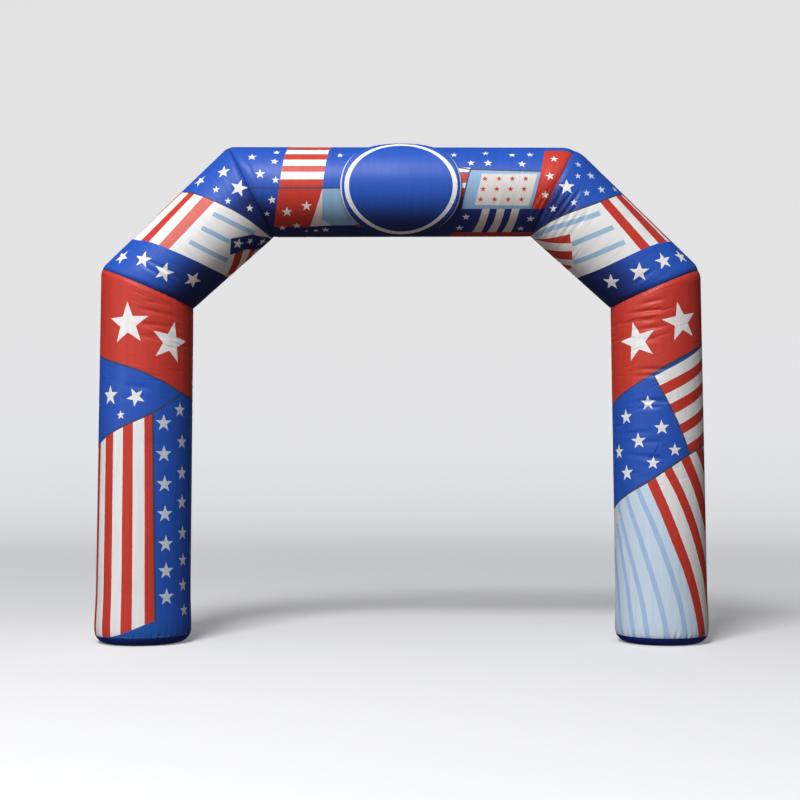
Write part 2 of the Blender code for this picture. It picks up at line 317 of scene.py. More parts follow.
def pucker_depth(length, station, angle):
    depth = np.zeros_like(station)
    for end, (joint, seam) in enumerate(zip(length.joints, length.ends(angle))):
        distance = np.abs(station - seam)
        near = distance < PUCKERS_END
        here, turn = distance[near], angle[near]
        sum_here = np.zeros_like(here)
        for pucker in length.puckers:
            if pucker.end == end:
                aside = turn_between(turn, pucker.angle) * joint.radius - pucker.slant * here
                sum_here += pucker.depth * bell(aside, pucker.half_width) * bell(here, pucker.reach)
        depth[near] += sum_here
    return depth


for seed, length in enumerate(LENGTHS.values()):
    length.puckers = seam_puckers(length, seed)
print("puckers:", sum(len(length.puckers) for length in LENGTHS.values()))

# %% [markdown]
# Between the creases the cloth is never quite smooth. Hand-long wrinkles, most of them one to three
# millimetres deep, run round the sleeve wherever it was pushed together: many near the corners, few on the
# long straight parts. A table says how many lie in each zone, and a seeded generator places them. Some are
# grooves and some are ridges.

# %% Wrinkles by zone
Zone = namedtuple("Zone", "start end count strength")
Wrinkle = namedtuple("Wrinkle", "along angle half_run half_width depth slant bend")
ZONES = {  # metres along the length, at its axis
    "leg_left": (Zone(2.30, 3.48, 150, 1.4), Zone(0.60, 2.30, 60, 0.6), Zone(0.12, 0.60, 30, 0.6)),
    "shoulder_left": (Zone(0.02, 0.45, 45, 0.9), Zone(0.45, 1.38, 95, 0.8)),
    "crossbar": (Zone(0.02, 0.60, 60, 0.9), Zone(0.60, 2.55, 110, 0.5), Zone(2.55, 3.10, 60, 1.0)),
    "shoulder_right": (Zone(0.02, 0.60, 75, 1.1), Zone(0.60, 1.38, 85, 0.9)),
    "leg_right": (Zone(0.03, 1.00, 130, 1.5), Zone(1.00, 2.00, 130, 1.4), Zone(2.00, 3.40, 45, 0.5)),
}
WRINKLE_RUN, WRINKLE_WIDTH, WRINKLE_DEPTH = (0.04, 0.15), (0.007, 0.014), (0.0008, 0.0024)
WRINKLE_SLANT, WRINKLE_BEND = 0.16, 1.2
WRINKLE_SLACK = 0.5  # the least, at the outside of the arch
WRINKLE_STRAY = 0.05  # metres that its slant and bend can carry a wrinkle off its level
GROOVE_SHARE, RIDGE_HEIGHT = 0.65, 0.7  # how many are grooves, and how high the others stand against them


def zone_wrinkles(length, seed):
    chance = np.random.default_rng(100 + seed)
    wrinkles = []
    for zone in ZONES[length.name]:
        for _ in range(zone.count):
            angle = chance.uniform(-math.pi, math.pi)
            slack = slack_at(angle, WRINKLE_SLACK)
            way = 1.0 if chance.random() < GROOVE_SHARE else -RIDGE_HEIGHT
            wrinkles.append(
                Wrinkle(
                    chance.uniform(zone.start, zone.end),
                    angle,
                    chance.uniform(*WRINKLE_RUN),
                    chance.uniform(*WRINKLE_WIDTH),
                    chance.uniform(*WRINKLE_DEPTH) * slack * zone.strength * way,
                    chance.uniform(-WRINKLE_SLANT, WRINKLE_SLANT),
                    chance.uniform(-WRINKLE_BEND, WRINKLE_BEND),
                )
            )
    return wrinkles


def wrinkle_depth(length, share, angle):
    """The wrinkles lie level with the nearest seam, because they are placed by share of the length."""
    level, radius = share * length.run, length.joints[0].radius
    depth = np.zeros_like(share)
    for wrinkle in length.wrinkles:
        near = np.flatnonzero(np.abs(level - wrinkle.along) < 3.0 * wrinkle.half_width + WRINKLE_STRAY)
        off = turn_between(angle[near], wrinkle.angle) * radius
        aside = level[near] - wrinkle.along - wrinkle.slant * off - wrinkle.bend * off * off
        depth[near] += wrinkle.depth * bell(aside, wrinkle.half_width) * bell(off, wrinkle.half_run)
    return depth


for seed, length in enumerate(LENGTHS.values()):
    length.wrinkles = zone_wrinkles(length, seed)
print("wrinkles:", sum(len(length.wrinkles) for length in LENGTHS.values()))

# %% [markdown]
# ## The skin as a function
#
# The skin's distance from the axis is a sum of simple parts: a slow taper, the drawn-in seams, the rounded
# outer corners, the foot, the creases, the puckers and the wrinkles. The foot spreads a little, then rolls
# in over the base panel, and is gathered into its seam. A function like this can be asked anywhere, so mesh
# points can go wherever the print needs them, and its slope gives exact normals.

# %% From two numbers to a point in space
HALF_TURN = math.radians(22.3)  # between a length's axis and the square of its mitred seam
TUCK_REACH = 0.030
SEAM_GROOVE, SEAM_GROOVE_REACH = 0.006, 0.008  # the thread pulls a narrow groove along a mitre
BASE_ROLL_HEIGHT, BASE_ROLL_INSET = 0.120, 0.118
FOOT_SPREAD, FOOT_SPREAD_HEIGHT, FOOT_SPREAD_REACH = 0.010, 0.170, 0.200
GATHERS, GATHER_DEPTH, GATHER_REACH = 44, 0.0080, 0.055  # round each foot, at the base seam


def corner_cut(distance, corner):
    """How far an arc of this radius stands in from a corner that turns by twice HALF_TURN."""
    reach = corner * math.tan(HALF_TURN)
    return np.where(distance < reach, (reach - distance) ** 2 / (2.0 * corner), 0.0)


def roll_inset(height):
    rolled = np.clip((BASE_ROLL_HEIGHT - height) / BASE_ROLL_HEIGHT, 0.0, 1.0)
    return BASE_ROLL_INSET * (1.0 - np.sqrt(1.0 - rolled * rolled))


def foot_shape(height, angle):
    spread = FOOT_SPREAD * bell(height - FOOT_SPREAD_HEIGHT, FOOT_SPREAD_REACH) - roll_inset(height)
    gathers = 0.5 + 0.5 * np.cos(angle * GATHERS + 2.0 * np.sin(3.0 * angle))  # their pitch drifts
    gathers *= 0.65 + 0.35 * np.sin(7.0 * angle)  # and their depth does, as in cloth under a sewing foot
    return spread - GATHER_DEPTH * gathers * bell(height - BASE_SEAM, GATHER_REACH)


def skin_radius(length, share, angle):
    smooth = length.plain_radius(share, angle)
    seams = [length.seam_station(end, smooth, angle) for end in (0, 1)]
    station = seams[0] + (seams[1] - seams[0]) * share
    radius = smooth.copy()
    for joint, (depth, width, _), seam in zip(length.joints, length.sections, seams):
        if joint.tuck:
            distance = np.abs(station - seam)
            groove = joint.tuck * bell(distance, TUCK_REACH) + SEAM_GROOVE * bell(distance, SEAM_GROOVE_REACH)
            radius -= groove * np.abs(np.cos(angle))
            radius -= np.maximum(np.sin(angle), 0.0) * corner_cut(distance, joint.corner) * width / depth
    height = length.start[2] + length.along[2] * station
    folds = crease_depth(length, station, angle) + pucker_depth(length, station, angle)
    folds += wrinkle_depth(length, share, angle)
    return radius + foot_shape(height, angle) - folds


def skin_point(length, share, angle):
    """Points of the skin: share runs from 0 at the first seam to 1 at the second."""
    radius = skin_radius(length, share, angle)
    first, last = (length.seam_station(end, radius, angle) for end in (0, 1))
    station = first + (last - first) * share
    return length.start + length.spoke(angle) * radius[:, None] + station[:, None] * length.along


def skin_normal(length, share, angle, nudge=0.002):
    """Normals from the slope of the skin, over a nudge of a few millimetres each way."""
    small = nudge / length.run
    share = np.clip(share, small, 1.0 - small)
    along = skin_point(length, share + small, angle) - skin_point(length, share - small, angle)
    turn = nudge / length.joints[0].radius
    around = skin_point(length, share, angle + turn) - skin_point(length, share, angle - turn)
    normal = np.cross(along, around)
    normal /= np.linalg.norm(normal, axis=1)[:, None]
    return normal * np.sign((normal * length.spoke(angle)).sum(axis=1))[:, None]


probe = skin_point(LENGTHS["crossbar"], np.array((0.5,)), np.array((0.0,)))[0]
print("front of the crossbar:", probe.round(3))

# %% [markdown]
# ## The print
#
# The cloth is printed with inks that soak into the polyester, so a colour's edge is crisp and has no
# height. It could be an image, but an image gets coarse on nearly forty square metres of cloth. Here each
# shape of the print is drawn on a flat chart of its length, and the mesh is cut along its outline, so edges
# stay sharp at any distance. The chart's numbers are metres along the length and degrees round it.
#
# Ink by ink: polyester takes bright, slightly cool colours, and coated white cloth stays a little warm.

# %% Inks
INKS = {
    "blue": "#2352b4",
    "bright_blue": "#1b55a8",
    "deep_blue": "#20327c",
    "navy": "#1b2968",
    "red": "#c3382c",
    # a paler red: painted highlight where the sheen falls along the left shoulder's band
    "red_painted_highlight": "#cf6054",
    "white": "#e9e8e8",
    "cool_white": "#c8d0de",
    "cream": "#dad5d2",
    "sky": "#9abbd8",
    "dim_sky": "#8bafd0",
    "pale": "#c8dced",
    "pale_stripe": "#a5bfe2",
    "line": "#3a4460",
    "seam_shadow": "#1a2250",
}


def linear(hex_colour):
    """An sRGB hex colour as linear red, green and blue."""
    parts = (int(hex_colour[k : k + 2], 16) / 255.0 for k in (1, 3, 5))
    return tuple(part / 12.92 if part <= 0.04045 else ((part + 0.055) / 1.055) ** 2.4 for part in parts)


print("inks:", len(INKS))

# %% [markdown]
# Five kinds of shape are enough. A band lies between two smooth curves. A patch has straight sides. A line
# is a curve with a width. A block holds level stripes between two slanted sides. Stars share one ink, and
# each has a place, the distance from its middle to a tip, and how far it is turned from the length's
# direction.

# %% Shapes of the print
Band = namedtuple("Band", "ink first second")
Patch = namedtuple("Patch", "ink corners")
Line = namedtuple("Line", "ink width curve")
Block = namedtuple("Block", "left right rows")
Stars = namedtuple("Stars", "ink rows")
OUTLINE_STEP = 0.012  # metres between the points of an outline
STAR_WAIST = 0.40  # inner corners of a star, as a share of its tips' distance


def flat(points, radius):
    """Chart points, from metres and degrees to metres both ways."""
    return [(s, math.radians(degrees) * radius) for s, degrees in points]


def smoothed(points):
    """A smooth curve through the points: at each it runs parallel to the line between its neighbours."""
    points = [np.array(point, float) for point in points]
    ends = [2 * points[0] - points[1], *points, 2 * points[-1] - points[-2]]
    curve = []
    for before, here, there, after in zip(ends, ends[1:], ends[2:], ends[3:]):
        count = max(1, round(np.linalg.norm(there - here) / OUTLINE_STEP))
        for t in np.arange(count) / count:
            bend = 2 * before - 5 * here + 4 * there - after
            twist = 3 * here - before - 3 * there + after
            curve.append(tuple(here + 0.5 * (t * (there - before) + t * t * bend + t**3 * twist)))
    return [*curve, tuple(points[-1])]


def straight(corners):
    """The outline of a shape with straight sides, in short steps."""
    outline = []
    for here, there in zip(corners, [*corners[1:], corners[0]]):
        count = max(1, round(math.dist(here, there) / OUTLINE_STEP))
        steps = np.arange(count)[:, None] / count
        outline += [tuple(point) for point in np.array(here) + steps * (np.array(there) - np.array(here))]
    return outline


def hoop(s):
    """A curve straight round the sleeve's front."""
    return ((s, 90), (s, 0), (s, -90))


def stroke(curve, width):
    curve = np.array(smoothed(curve))
    heading = np.gradient(curve, axis=0)
    heading /= np.linalg.norm(heading, axis=1)[:, None]
    aside = 0.5 * width * np.stack((-heading[:, 1], heading[:, 0]), axis=1)
    return [tuple(point) for point in (*(curve + aside), *(curve - aside)[::-1])]


def star(middle, reach, turn):
    corners = []
    for k in range(10):
        away = reach * (STAR_WAIST if k % 2 else 1.0)
        heading = math.radians(turn + 36 * k)
        corners.append((middle[0] + away * math.cos(heading), middle[1] + away * math.sin(heading)))
    return straight(corners)


def side_at(side, degrees):
    """Where a block's slanted side is at this angle."""
    rows = sorted(side, key=lambda point: point[1])
    return float(np.interp(degrees, [row[1] for row in rows], [row[0] for row in rows]))


def outlines(shape, radius):
    """The shape's outlines on the chart, each with its ink."""
    if isinstance(shape, Band):
        first, second = (smoothed(flat(side, radius)) for side in (shape.first, shape.second))
        return [(shape.ink, first + second[::-1])]
    if isinstance(shape, Patch):
        return [(shape.ink, straight(flat(shape.corners, radius)))]
    if isinstance(shape, Line):
        return [(shape.ink, stroke(flat(shape.curve, radius), shape.width))]
    if isinstance(shape, Block):
        found = []
        for ink, low, high in shape.rows:
            corners = [(side_at(shape.left, low), low), (side_at(shape.right, low), low)]
            corners += [(side_at(shape.right, high), high), (side_at(shape.left, high), high)]
            found.append((ink, straight(flat(corners, radius))))
        return found
    return [(shape.ink, star(flat([row[:2]], radius)[0], *row[2:])) for row in shape.rows]


print("a star has", len(star((0, 0), 0.1, 0)), "outline points")

# %% [markdown]
# ## The chart of each length
#
# Shapes are painted in order, later ones over earlier ones, so a stripe may run on under its neighbour. The
# charts follow the arch's front. The back gets the same shapes, mirrored.

# %% The left leg's chart
HOOP_LEFT_HIGH = ((2.89, 90), (2.829, 65.3), (2.676, 0.2), (2.475, -55.5), (2.425, -77.8), (2.40, -90))
HOOP_LEFT_LOW = ((1.86, 90), (1.965, 62.7), (2.14, 15.1), (2.258, -17.2), (2.456, -57.4), (2.465, -62))
STRIPE_SIDES = (  # degrees at a stripe's top, and at the foot
    (96, 96), (70, 74), (58.3, 62.3), (45.7, 45.1), (32.1, 30.6), (18.0, 16.3), (5.4, 2.5),
    (-8.2, -12.5), (-17.6, -24.4),
)
STRIPES_TOP, STRIPES_WAIST, WAIST_SHARE = 2.35, 1.41, 0.56  # metres, and how far a side is like its top there


def stripe_side(top, foot):
    waist = WAIST_SHARE * top + (1.0 - WAIST_SHARE) * foot
    return ((STRIPES_TOP, top), (STRIPES_WAIST, waist), (0.0, foot))


PRINTS = {}
PRINTS["leg_left"] = [
    *(
        Band(("white", "red")[k % 2], stripe_side(*side), stripe_side(*next_side))
        for k, (side, next_side) in enumerate(zip(STRIPE_SIDES, STRIPE_SIDES[1:]))
    ),
    Line("line", 0.022, ((2.35, -18.4), (1.41, -21.2), (0.25, -24.8))),
    Patch("bright_blue", (
        (0.081, 47), (0.09, 29), (0.124, 14.8), (0.212, -11.5), (0.256, -27), (0.25, -40), (0.0, -48),
        (0.0, 47),
    )),
    Band("blue", HOOP_LEFT_HIGH, HOOP_LEFT_LOW),
    Band("red", hoop(4.0), HOOP_LEFT_HIGH),
    Line("line", 0.018, HOOP_LEFT_LOW),
    Line("line", 0.018, HOOP_LEFT_HIGH),
    Stars("white", (
        (3.131, 13.5, 0.218, 2), (2.958, -40.5, 0.212, -12),
        (2.430, 38.1, 0.104, 0), (2.412, 2.3, 0.096, 28), (2.238, 21.3, 0.047, 5),
    )),
    Stars("cool_white", (
        (2.163, -32.2, 0.087, 0), (1.861, -33.0, 0.087, 0), (1.569, -34.3, 0.087, 0),
        (1.277, -35.3, 0.087, 0), (0.986, -36.9, 0.087, 0), (0.725, -37.6, 0.087, 0),
        (0.473, -38.7, 0.087, 0), (2.297, -55.9, 0.078, 0), (1.982, -60.2, 0.078, 0),
        (1.677, -60.9, 0.078, 0), (1.391, -61.5, 0.078, 0), (1.087, -63.5, 0.078, 0),
        (0.821, -64.9, 0.072, 0), (0.576, -65.5, 0.072, 0), (0.330, -67.7, 0.068, 0),
    )),
]
print("leg_left:", len(PRINTS["leg_left"]), "shapes and groups of stars")

# %% The left shoulder's chart
HOOP_ABOVE_KNEE = (
    (0.24, 90), (0.264, 56.3), (0.343, 32.8), (0.438, 4.5), (0.559, -34.5), (0.631, -68.3), (0.65, -90),
)
HOOP_UNDER_ELBOW = (
    (0.91, 90), (0.941, 60), (0.987, 42.8), (1.074, 12.2), (1.168, -20.7), (1.221, -51.3), (1.26, -90),
)
PRINTS["shoulder_left"] = [
    Patch("white", ((-0.3, 90), (1.7, 90), (1.7, -90), (-0.3, -90))),
    Patch("red", ((0.0, 90), (1.2, 90), (1.199, 61.8), (0.0, 76))),
    Band(
        "red",
        ((1.199, 54.8), (0.940, 48.4), (0.299, 44.5), (-0.001, 43.2)),
        ((1.199, 36.1), (0.968, 37.6), (0.343, 32.1), (0.000, 30.1)),
    ),
    # painted highlight: this band's red is painted paler where the sheen falls along it
    Band(
        "red_painted_highlight",
        ((1.200, 24.6), (1.027, 24), (0.394, 17.8), (0.000, 14.5)),
        ((1.200, 8.3), (1.074, 8.1), (0.438, 4.5), (0.000, 2.4)),
    ),
    Line("sky", 0.047, ((0.988, -2.2), (1.146, -56.3))),
    Line("sky", 0.047, ((0.812, -4.8), (0.914, -41.1))),
    Line("sky", 0.047, ((0.632, -6.7), (0.766, -58))),
    Patch("red", ((0.881, -57), (0.951, -63.3), (0.735, -91), (0.645, -82))),
    Patch("red", ((1.011, -71.8), (1.062, -80.1), (0.90, -96), (0.85, -92))),
    Patch("navy", (
        (0.942, -38.8), (1.127, -55.1), (1.228, -78.7), (1.24, -96), (1.11, -96), (0.982, -66.6),
        (0.821, -54.3),
    )),
    Band("blue", hoop(-0.5), HOOP_ABOVE_KNEE),
    Band("blue", HOOP_UNDER_ELBOW, hoop(1.9)),
    Line("line", 0.014, HOOP_UNDER_ELBOW),
    Stars("white", (
        (0.050, 47.4, 0.088, 4), (0.185, 18.4, 0.091, 32), (0.246, -11.5, 0.101, 26), (0.391, -44, 0.090, 14),
        (1.352, 30.2, 0.074, 46), (1.128, 50.3, 0.074, 0), (1.176, 18.3, 0.040, 45), (1.346, -1.4, 0.092, 30),
        (1.180, -3.6, 0.036, 45), (1.284, -28.1, 0.038, 45),
        (0.959, -50.9, 0.060, 35), (1.063, -60.1, 0.040, 10), (1.150, -77.2, 0.055, 20),
    )),
]
print("shoulder_left:", len(PRINTS["shoulder_left"]), "shapes and groups of stars")

# %% The crossbar's chart
BLOCK_LEFT = ((0.450, 90), (0.419, 56.2), (0.358, -7.4), (0.290, -60.6))
BLOCK_RIGHT = ((0.870, 90), (0.838, 54.5), (0.784, -7.4), (0.649, -59.8))
STAR_PANEL = ((2.351, 12.2), (2.893, 12.4), (2.812, -28.5), (2.280, -27.3))
SMALL_STARS = (  # in the panel: degrees, and metres along the crossbar
    (5.6, (2.379, 2.517, 2.648, 2.780)),
    (-7.4, (2.360, 2.495, 2.630, 2.762)),
    (-20.4, (2.337, 2.475, 2.608, 2.738)),
)
LOW_STRIPES = ((2.356, 2.325, 2.266), (2.503, 2.475, 2.417), (2.648, 2.619, 2.564))


def low_stripe(top, middle, low):
    """A pale stripe under the star panel, a little wider at its foot."""
    side = ((top, -32.6), (middle, -50.5), (low, -73.5))
    return Band("cream", side, ((top + 0.077, -32.6), (middle + 0.077, -50.5), (low + 0.092, -73.5)))


PRINTS["crossbar"] = [
    Patch("cream", ((0.70, -7), (1.25, -7), (1.25, -58), (0.60, -60))),
    Patch("dim_sky", ((0.785, -7), (1.25, -7), (1.25, -57), (0.870, -57.5), (0.775, -48))),
    Patch("navy", ((0.0, -61), (0.645, -60), (0.862, -57.6), (2.2, -56), (2.2, -90), (0.0, -90))),
    Block(BLOCK_LEFT, BLOCK_RIGHT, (
        ("white", -7.4, 90), ("red", 56.5, 72), ("red", 33.6, 44.6), ("red", 14.8, 23.4), ("red", -7.4, 4.8),
        ("red", -60.4, -7.4),
    )),
    Line("line", 0.015, ((0.00, -6.2), (0.50, -6.2), (1.10, -6.2))),
    Patch("red", ((1.092, -56.5), (1.146, -55.0), (1.139, -60.6))),
    Patch("red", ((1.947, -57.0), (2.030, -50.5), (2.003, -62.6))),
    Patch("white", ((1.9, 22.3), (2.24, 20.8), (2.22, 14.5), (1.9, 14.5))),
    Patch("red", ((1.9, 12.8), (2.22, 12.8), (2.20, 1.9), (1.9, 1.9))),
    Patch("white", ((1.9, 0.5), (2.20, 0.5), (2.185, -6.0), (1.9, -6.0))),
    Patch("red", ((1.9, -7.0), (2.183, -7.0), (2.17, -17.0), (1.9, -17.0))),
    Patch("deep_blue", ((1.9, -32.6), (3.4, -32.6), (3.4, -90), (1.9, -90))),
    Patch("red", ((2.08, -74), (2.95, -74), (2.95, -90), (2.02, -90))),
    Patch("dim_sky", ((2.238, 17.4), (2.930, 15.6), (2.840, -32.6), (2.148, -32.6))),
    Patch("cream", STAR_PANEL),
    Line("line", 0.016, ((2.935, 15.8), (2.60, 17.0), (2.236, 18.4))),
    Line("line", 0.013, ((2.243, 18.4), (2.206, 3.0), (2.146, -33))),
    Line("line", 0.013, ((1.9, 22.6), (2.08, 21.6), (2.236, 18.4))),
    *(low_stripe(*places) for places in LOW_STRIPES),
    Patch("red", ((2.988, 55), (2.930, 14.8), (2.842, -33), (3.20, -33), (3.6, 55))),
    Stars("white", (
        (0.081, 38.4, 0.050, 18), (0.319, 48.9, 0.040, 18), (0.306, 30.3, 0.042, 12),
        (0.170, 11.7, 0.053, 20), (0.324, 3.9, 0.041, 18), (0.288, -21.0, 0.043, 24),
        (0.233, -39.5, 0.030, 18), (0.951, 42.0, 0.036, 18), (0.431, -36.7, 0.057, 18),
        (0.626, -28.7, 0.055, 18), (0.372, -62.5, 0.040, 18), (0.520, -58.2, 0.045, 18),
        (0.610, -69.5, 0.022, 18), (0.705, -68.5, 0.032, 18), (0.803, -66.8, 0.042, 18),
        (2.080, 43.3, 0.038, 18), (2.245, 28.2, 0.039, 22), (2.393, 47.2, 0.036, 18),
        (2.413, 28.2, 0.046, 18), (2.655, 43.5, 0.038, 18), (2.747, 26.7, 0.043, 14),
        (2.834, 44.3, 0.038, 18), (2.198, -44.1, 0.041, 18), (2.139, -63.2, 0.045, 18),
        (2.836, -47.3, 0.042, 12), (2.750, -65.0, 0.042, 18), (3.067, 35.4, 0.044, 14),
        (3.018, 9.3, 0.047, 24), (2.969, -14.8, 0.044, 12),
    )),
    Stars("red", tuple((along, degrees, 0.031, 18) for degrees, row in SMALL_STARS for along in row)),
]
print("crossbar:", len(PRINTS["crossbar"]), "shapes and groups of stars")

# %% The right shoulder's chart
HOOP_UNDER_RIGHT_ELBOW = (
    (0.535, 90), (0.500, 63.8), (0.397, 17.7), (0.242, -25.4), (0.168, -54), (0.12, -90),
)
HOOP_ABOVE_RIGHT_KNEE = (
    (1.22, 90), (1.160, 58.3), (1.021, 10.2), (0.901, -31.7), (0.803, -68.5), (0.775, -90),
)
PRINTS["shoulder_right"] = [
    Patch("white", ((-0.3, 90), (1.9, 90), (1.9, -90), (-0.3, -90))),
    Patch("red", ((0.2, 90), (1.6, 90), (1.600, 62), (0.201, 65.2))),
    Band(
        "red",
        ((0.201, 59.5), (0.500, 59.4), (1.160, 53.9), (1.500, 50)),
        ((0.200, 49.7), (0.481, 45.6), (1.109, 36.9), (1.500, 33)),
    ),
    Band(
        "red",
        ((0.200, 36.2), (0.442, 31.5), (1.068, 22.9), (1.500, 18)),
        ((0.200, 22.3), (0.402, 18.6), (1.021, 10.2), (1.500, 5)),
    ),
    Line("sky", 0.050, ((0.480, 7.5), (0.400, -13), (0.262, -45), (0.205, -61), (0.170, -80))),
    Line("sky", 0.050, ((0.672, 6.5), (0.497, -45.8))),
    Line("sky", 0.050, ((0.852, 3.1), (0.636, -65.2))),
    Patch("white", ((0.15, -92), (0.414, -38), (0.617, -63.5), (0.680, -78), (0.62, -96))),
    Patch("red", ((0.150, -92), (0.416, -37.5), (0.486, -45.5))),
    Patch("red", ((0.305, -92), (0.547, -52.2), (0.612, -62), (0.43, -96))),
    Patch("red", ((0.52, -96), (0.642, -73.5), (0.668, -79), (0.62, -96))),
    Band("blue", hoop(-0.5), HOOP_UNDER_RIGHT_ELBOW),
    Band("blue", HOOP_ABOVE_RIGHT_KNEE, hoop(2.1)),
    Line("line", 0.016, HOOP_UNDER_RIGHT_ELBOW),
    Stars("white", (
        (0.068, 2.1, 0.084, -8),
        (1.037, -45.6, 0.088, -6), (1.160, -11.3, 0.100, -9),
        (1.253, 21.1, 0.092, 8), (1.348, 50.3, 0.084, 10),
    )),
    Stars("cool_white", (
        (-0.011, 39.3, 0.040, -9), (0.069, 24, 0.034, -9), (0.155, 40.2, 0.048, 0), (0.325, 35, 0.048, 0),
        (0.412, 58.4, 0.044, 0), (0.248, 14.7, 0.039, -6),
        (0.226, -5.7, 0.040, -9), (0.121, -29.1, 0.039, -9),
    )),
]
print("shoulder_right:", len(PRINTS["shoulder_right"]), "shapes and groups of stars")

# %% The right leg's chart
HOOP_RIGHT_HIGH = (
    (0.49, 90), (0.588, 65.7), (0.718, 26), (0.880, -13.3), (1.009, -43.0), (1.134, -76.2), (1.18, -90),
)
HOOP_RIGHT_LOW = (
    (1.50, 90), (1.566, 70.7), (1.682, 28.7), (1.941, -24.5), (2.028, -45.8), (2.169, -81.0), (2.20, -90),
)
FLAG_STRIPES = (  # metres at the slanted line, degrees there, and metres at the outer edge
    ("white", 0.912, -13.2, 0.500), ("red", 1.004, -7.5, 0.640), ("white", 1.094, -1.4, 0.745),
    ("red", 1.191, 3.8, 0.865), ("white", 1.282, 9.9, 0.975), ("red", 1.389, 16.3, 1.110),
    ("white", 1.474, 21.9, 1.225), ("red", 1.581, 28.1, 1.365), ("red", 1.680, 32.0, 1.490),
)
FAN_RED = (  # both sides of each stripe
    (((1.85, -27), (1.958, -24.3), (2.235, -9.7), (2.536, 4.8), (2.818, 19.1), (3.142, 32.3), (3.5, 41.2)),
     ((1.82, -19), (1.904, -14.0), (2.176, 0.6), (2.478, 15.8), (2.802, 32.4), (3.129, 46.4), (3.5, 56.5))),
    (((1.75, -9), (1.855, -3.2), (2.077, 11.3), (2.380, 28.1), (2.727, 46.0), (2.955, 58.0), (3.5, 80)),
     ((1.70, 0), (1.811, 6.7), (2.058, 22.8), (2.383, 43.0), (2.694, 62), (2.95, 76), (3.2, 92))),
    (((1.65, 12), (1.746, 18.7), (1.958, 32.9), (2.203, 48.6), (2.389, 62), (2.75, 90)),
     ((1.60, 25), (1.692, 31.1), (1.878, 45.3), (2.110, 65), (2.40, 90))),
    (((1.55, 36), (1.655, 44.1), (1.860, 66), (2.08, 90)), ((1.50, 50), (1.60, 60), (1.72, 76), (1.82, 92))),
)
FAN_PALE = (  # the middle of each stripe
    ((1.90, -42), (2.054, -35.3), (2.375, -17.6), (2.775, 0.3), (3.155, 13.9), (3.5, 20)),
    ((1.95, -61), (2.136, -52.6), (2.497, -35.1), (2.875, -20.1), (3.232, -8.3), (3.5, -3.6)),
    ((2.15, -74), (2.321, -65.2), (2.681, -49.2), (3.078, -35.1), (3.5, -26)),
    ((2.35, -78), (2.506, -71.0), (2.887, -58.8), (3.285, -49.3), (3.5, -45.5)),
    ((2.60, -90), (2.898, -80), (3.260, -71.8), (3.5, -65.5)),
)


def flag_stripe(stripe, after):
    """A stripe from the slanted line to the outer edge, as far as the next one."""
    ink, near, degrees, far = stripe
    _, next_near, next_degrees, next_far = after
    return Patch(ink, ((near, degrees), (far, 90), (next_far, 90), (next_near, next_degrees)))


PRINTS["leg_right"] = [
    Patch("pale", ((1.4, 90), (3.6, 90), (3.6, -90), (1.4, -90))),
    Band("white", FAN_RED[0][0], ((1.40, 0), (1.45, 60), (1.6, 96), (2.6, 96), (3.7, 96))),
    *(Band("red", *sides) for sides in FAN_RED),
    *(Line("pale_stripe", 0.050, curve) for curve in FAN_PALE),
    Patch("pale", ((1.50, 50), (1.60, 60), (1.72, 76), (1.82, 92), (1.30, 92), (1.30, 50))),
    Patch("cream", ((2.225, -80), (2.280, -66.0), (2.34, -76), (2.30, -84))),
    Band("blue", ((0.3, 90), (0.3, 0), (0.9, -90)), HOOP_RIGHT_LOW),
    *(flag_stripe(stripe, after) for stripe, after in zip(FLAG_STRIPES, FLAG_STRIPES[1:])),
    Line("line", 0.016, ((0.905, -14.5), (1.282, 9.9), (1.672, 31.5))),
    Line("line", 0.018, HOOP_RIGHT_LOW),
    Band("red", hoop(-0.6), HOOP_RIGHT_HIGH),
    Line("line", 0.032, HOOP_RIGHT_HIGH[:4]),
    Line("line", 0.014, HOOP_RIGHT_HIGH[2:]),
    Stars("white", (
        (0.565, -34.5, 0.200, 194), (0.381, 22.4, 0.200, 192),
        (1.172, -22.2, 0.077, 180), (1.301, -53.4, 0.080, 184), (1.414, -5.7, 0.077, 182),
        (1.541, -35.3, 0.082, 184), (1.643, -68.9, 0.078, 180), (1.633, 10.3, 0.067, 180),
        (1.757, -17.2, 0.068, 176), (1.852, -53.7, 0.082, 184),
    )),
]
print("leg_right:", len(PRINTS["leg_right"]), "shapes and groups of stars")

# %% [markdown]
# ## Cutting the mesh along the print
#
# A constrained triangulation takes a cloud of points and a set of outlines, and returns triangles that
# never cross an outline. The cloud is a plain grid on the chart: close rows near the seams, where the folds
# are, and wide rows between them. Each triangle also says which outlines it lies in, and the last one
# painted gives its ink.

# %% Rows and columns
COLUMNS = 240
SEAM_STEPS = (0.0, 0.003, 0.006, 0.009, 0.012, 0.016, 0.021)
CLOSE_STEP, WIDE_STEP, STEP_GROWTH = 0.0085, 0.024, 0.06
REACHES = {  # how far the close rows run from the first and the second seam
    "leg_left": (0.20, 1.10),
    "shoulder_left": (0.70, 0.70),
    "crossbar": (0.70, 0.70),
    "shoulder_right": (0.70, 0.70),
    "leg_right": (1.20, 0.20),
}


def row_shares(length):
    stations, stop = list(SEAM_STEPS), length.run - SEAM_STEPS[-1]
    while stations[-1] < stop:
        from_ends = stations[-1], length.run - stations[-1]
        beyond = min(max(far - reach, 0.0) for far, reach in zip(from_ends, REACHES[length.name]))
        stations.append(stations[-1] + min(CLOSE_STEP + STEP_GROWTH * beyond, WIDE_STEP))
    close = len(SEAM_STEPS) - 1
    stretch = (stop - SEAM_STEPS[-1]) / (stations[-1] - SEAM_STEPS[-1])
    middle = [SEAM_STEPS[-1] + (far - SEAM_STEPS[-1]) * stretch for far in stations[close:]]
    far_end = [length.run - near for near in SEAM_STEPS[:close][::-1]]
    return np.array([*SEAM_STEPS[:close], *middle, *far_end]) / length.run


print("rows:", {name: len(row_shares(length)) for name, length in LENGTHS.items()})

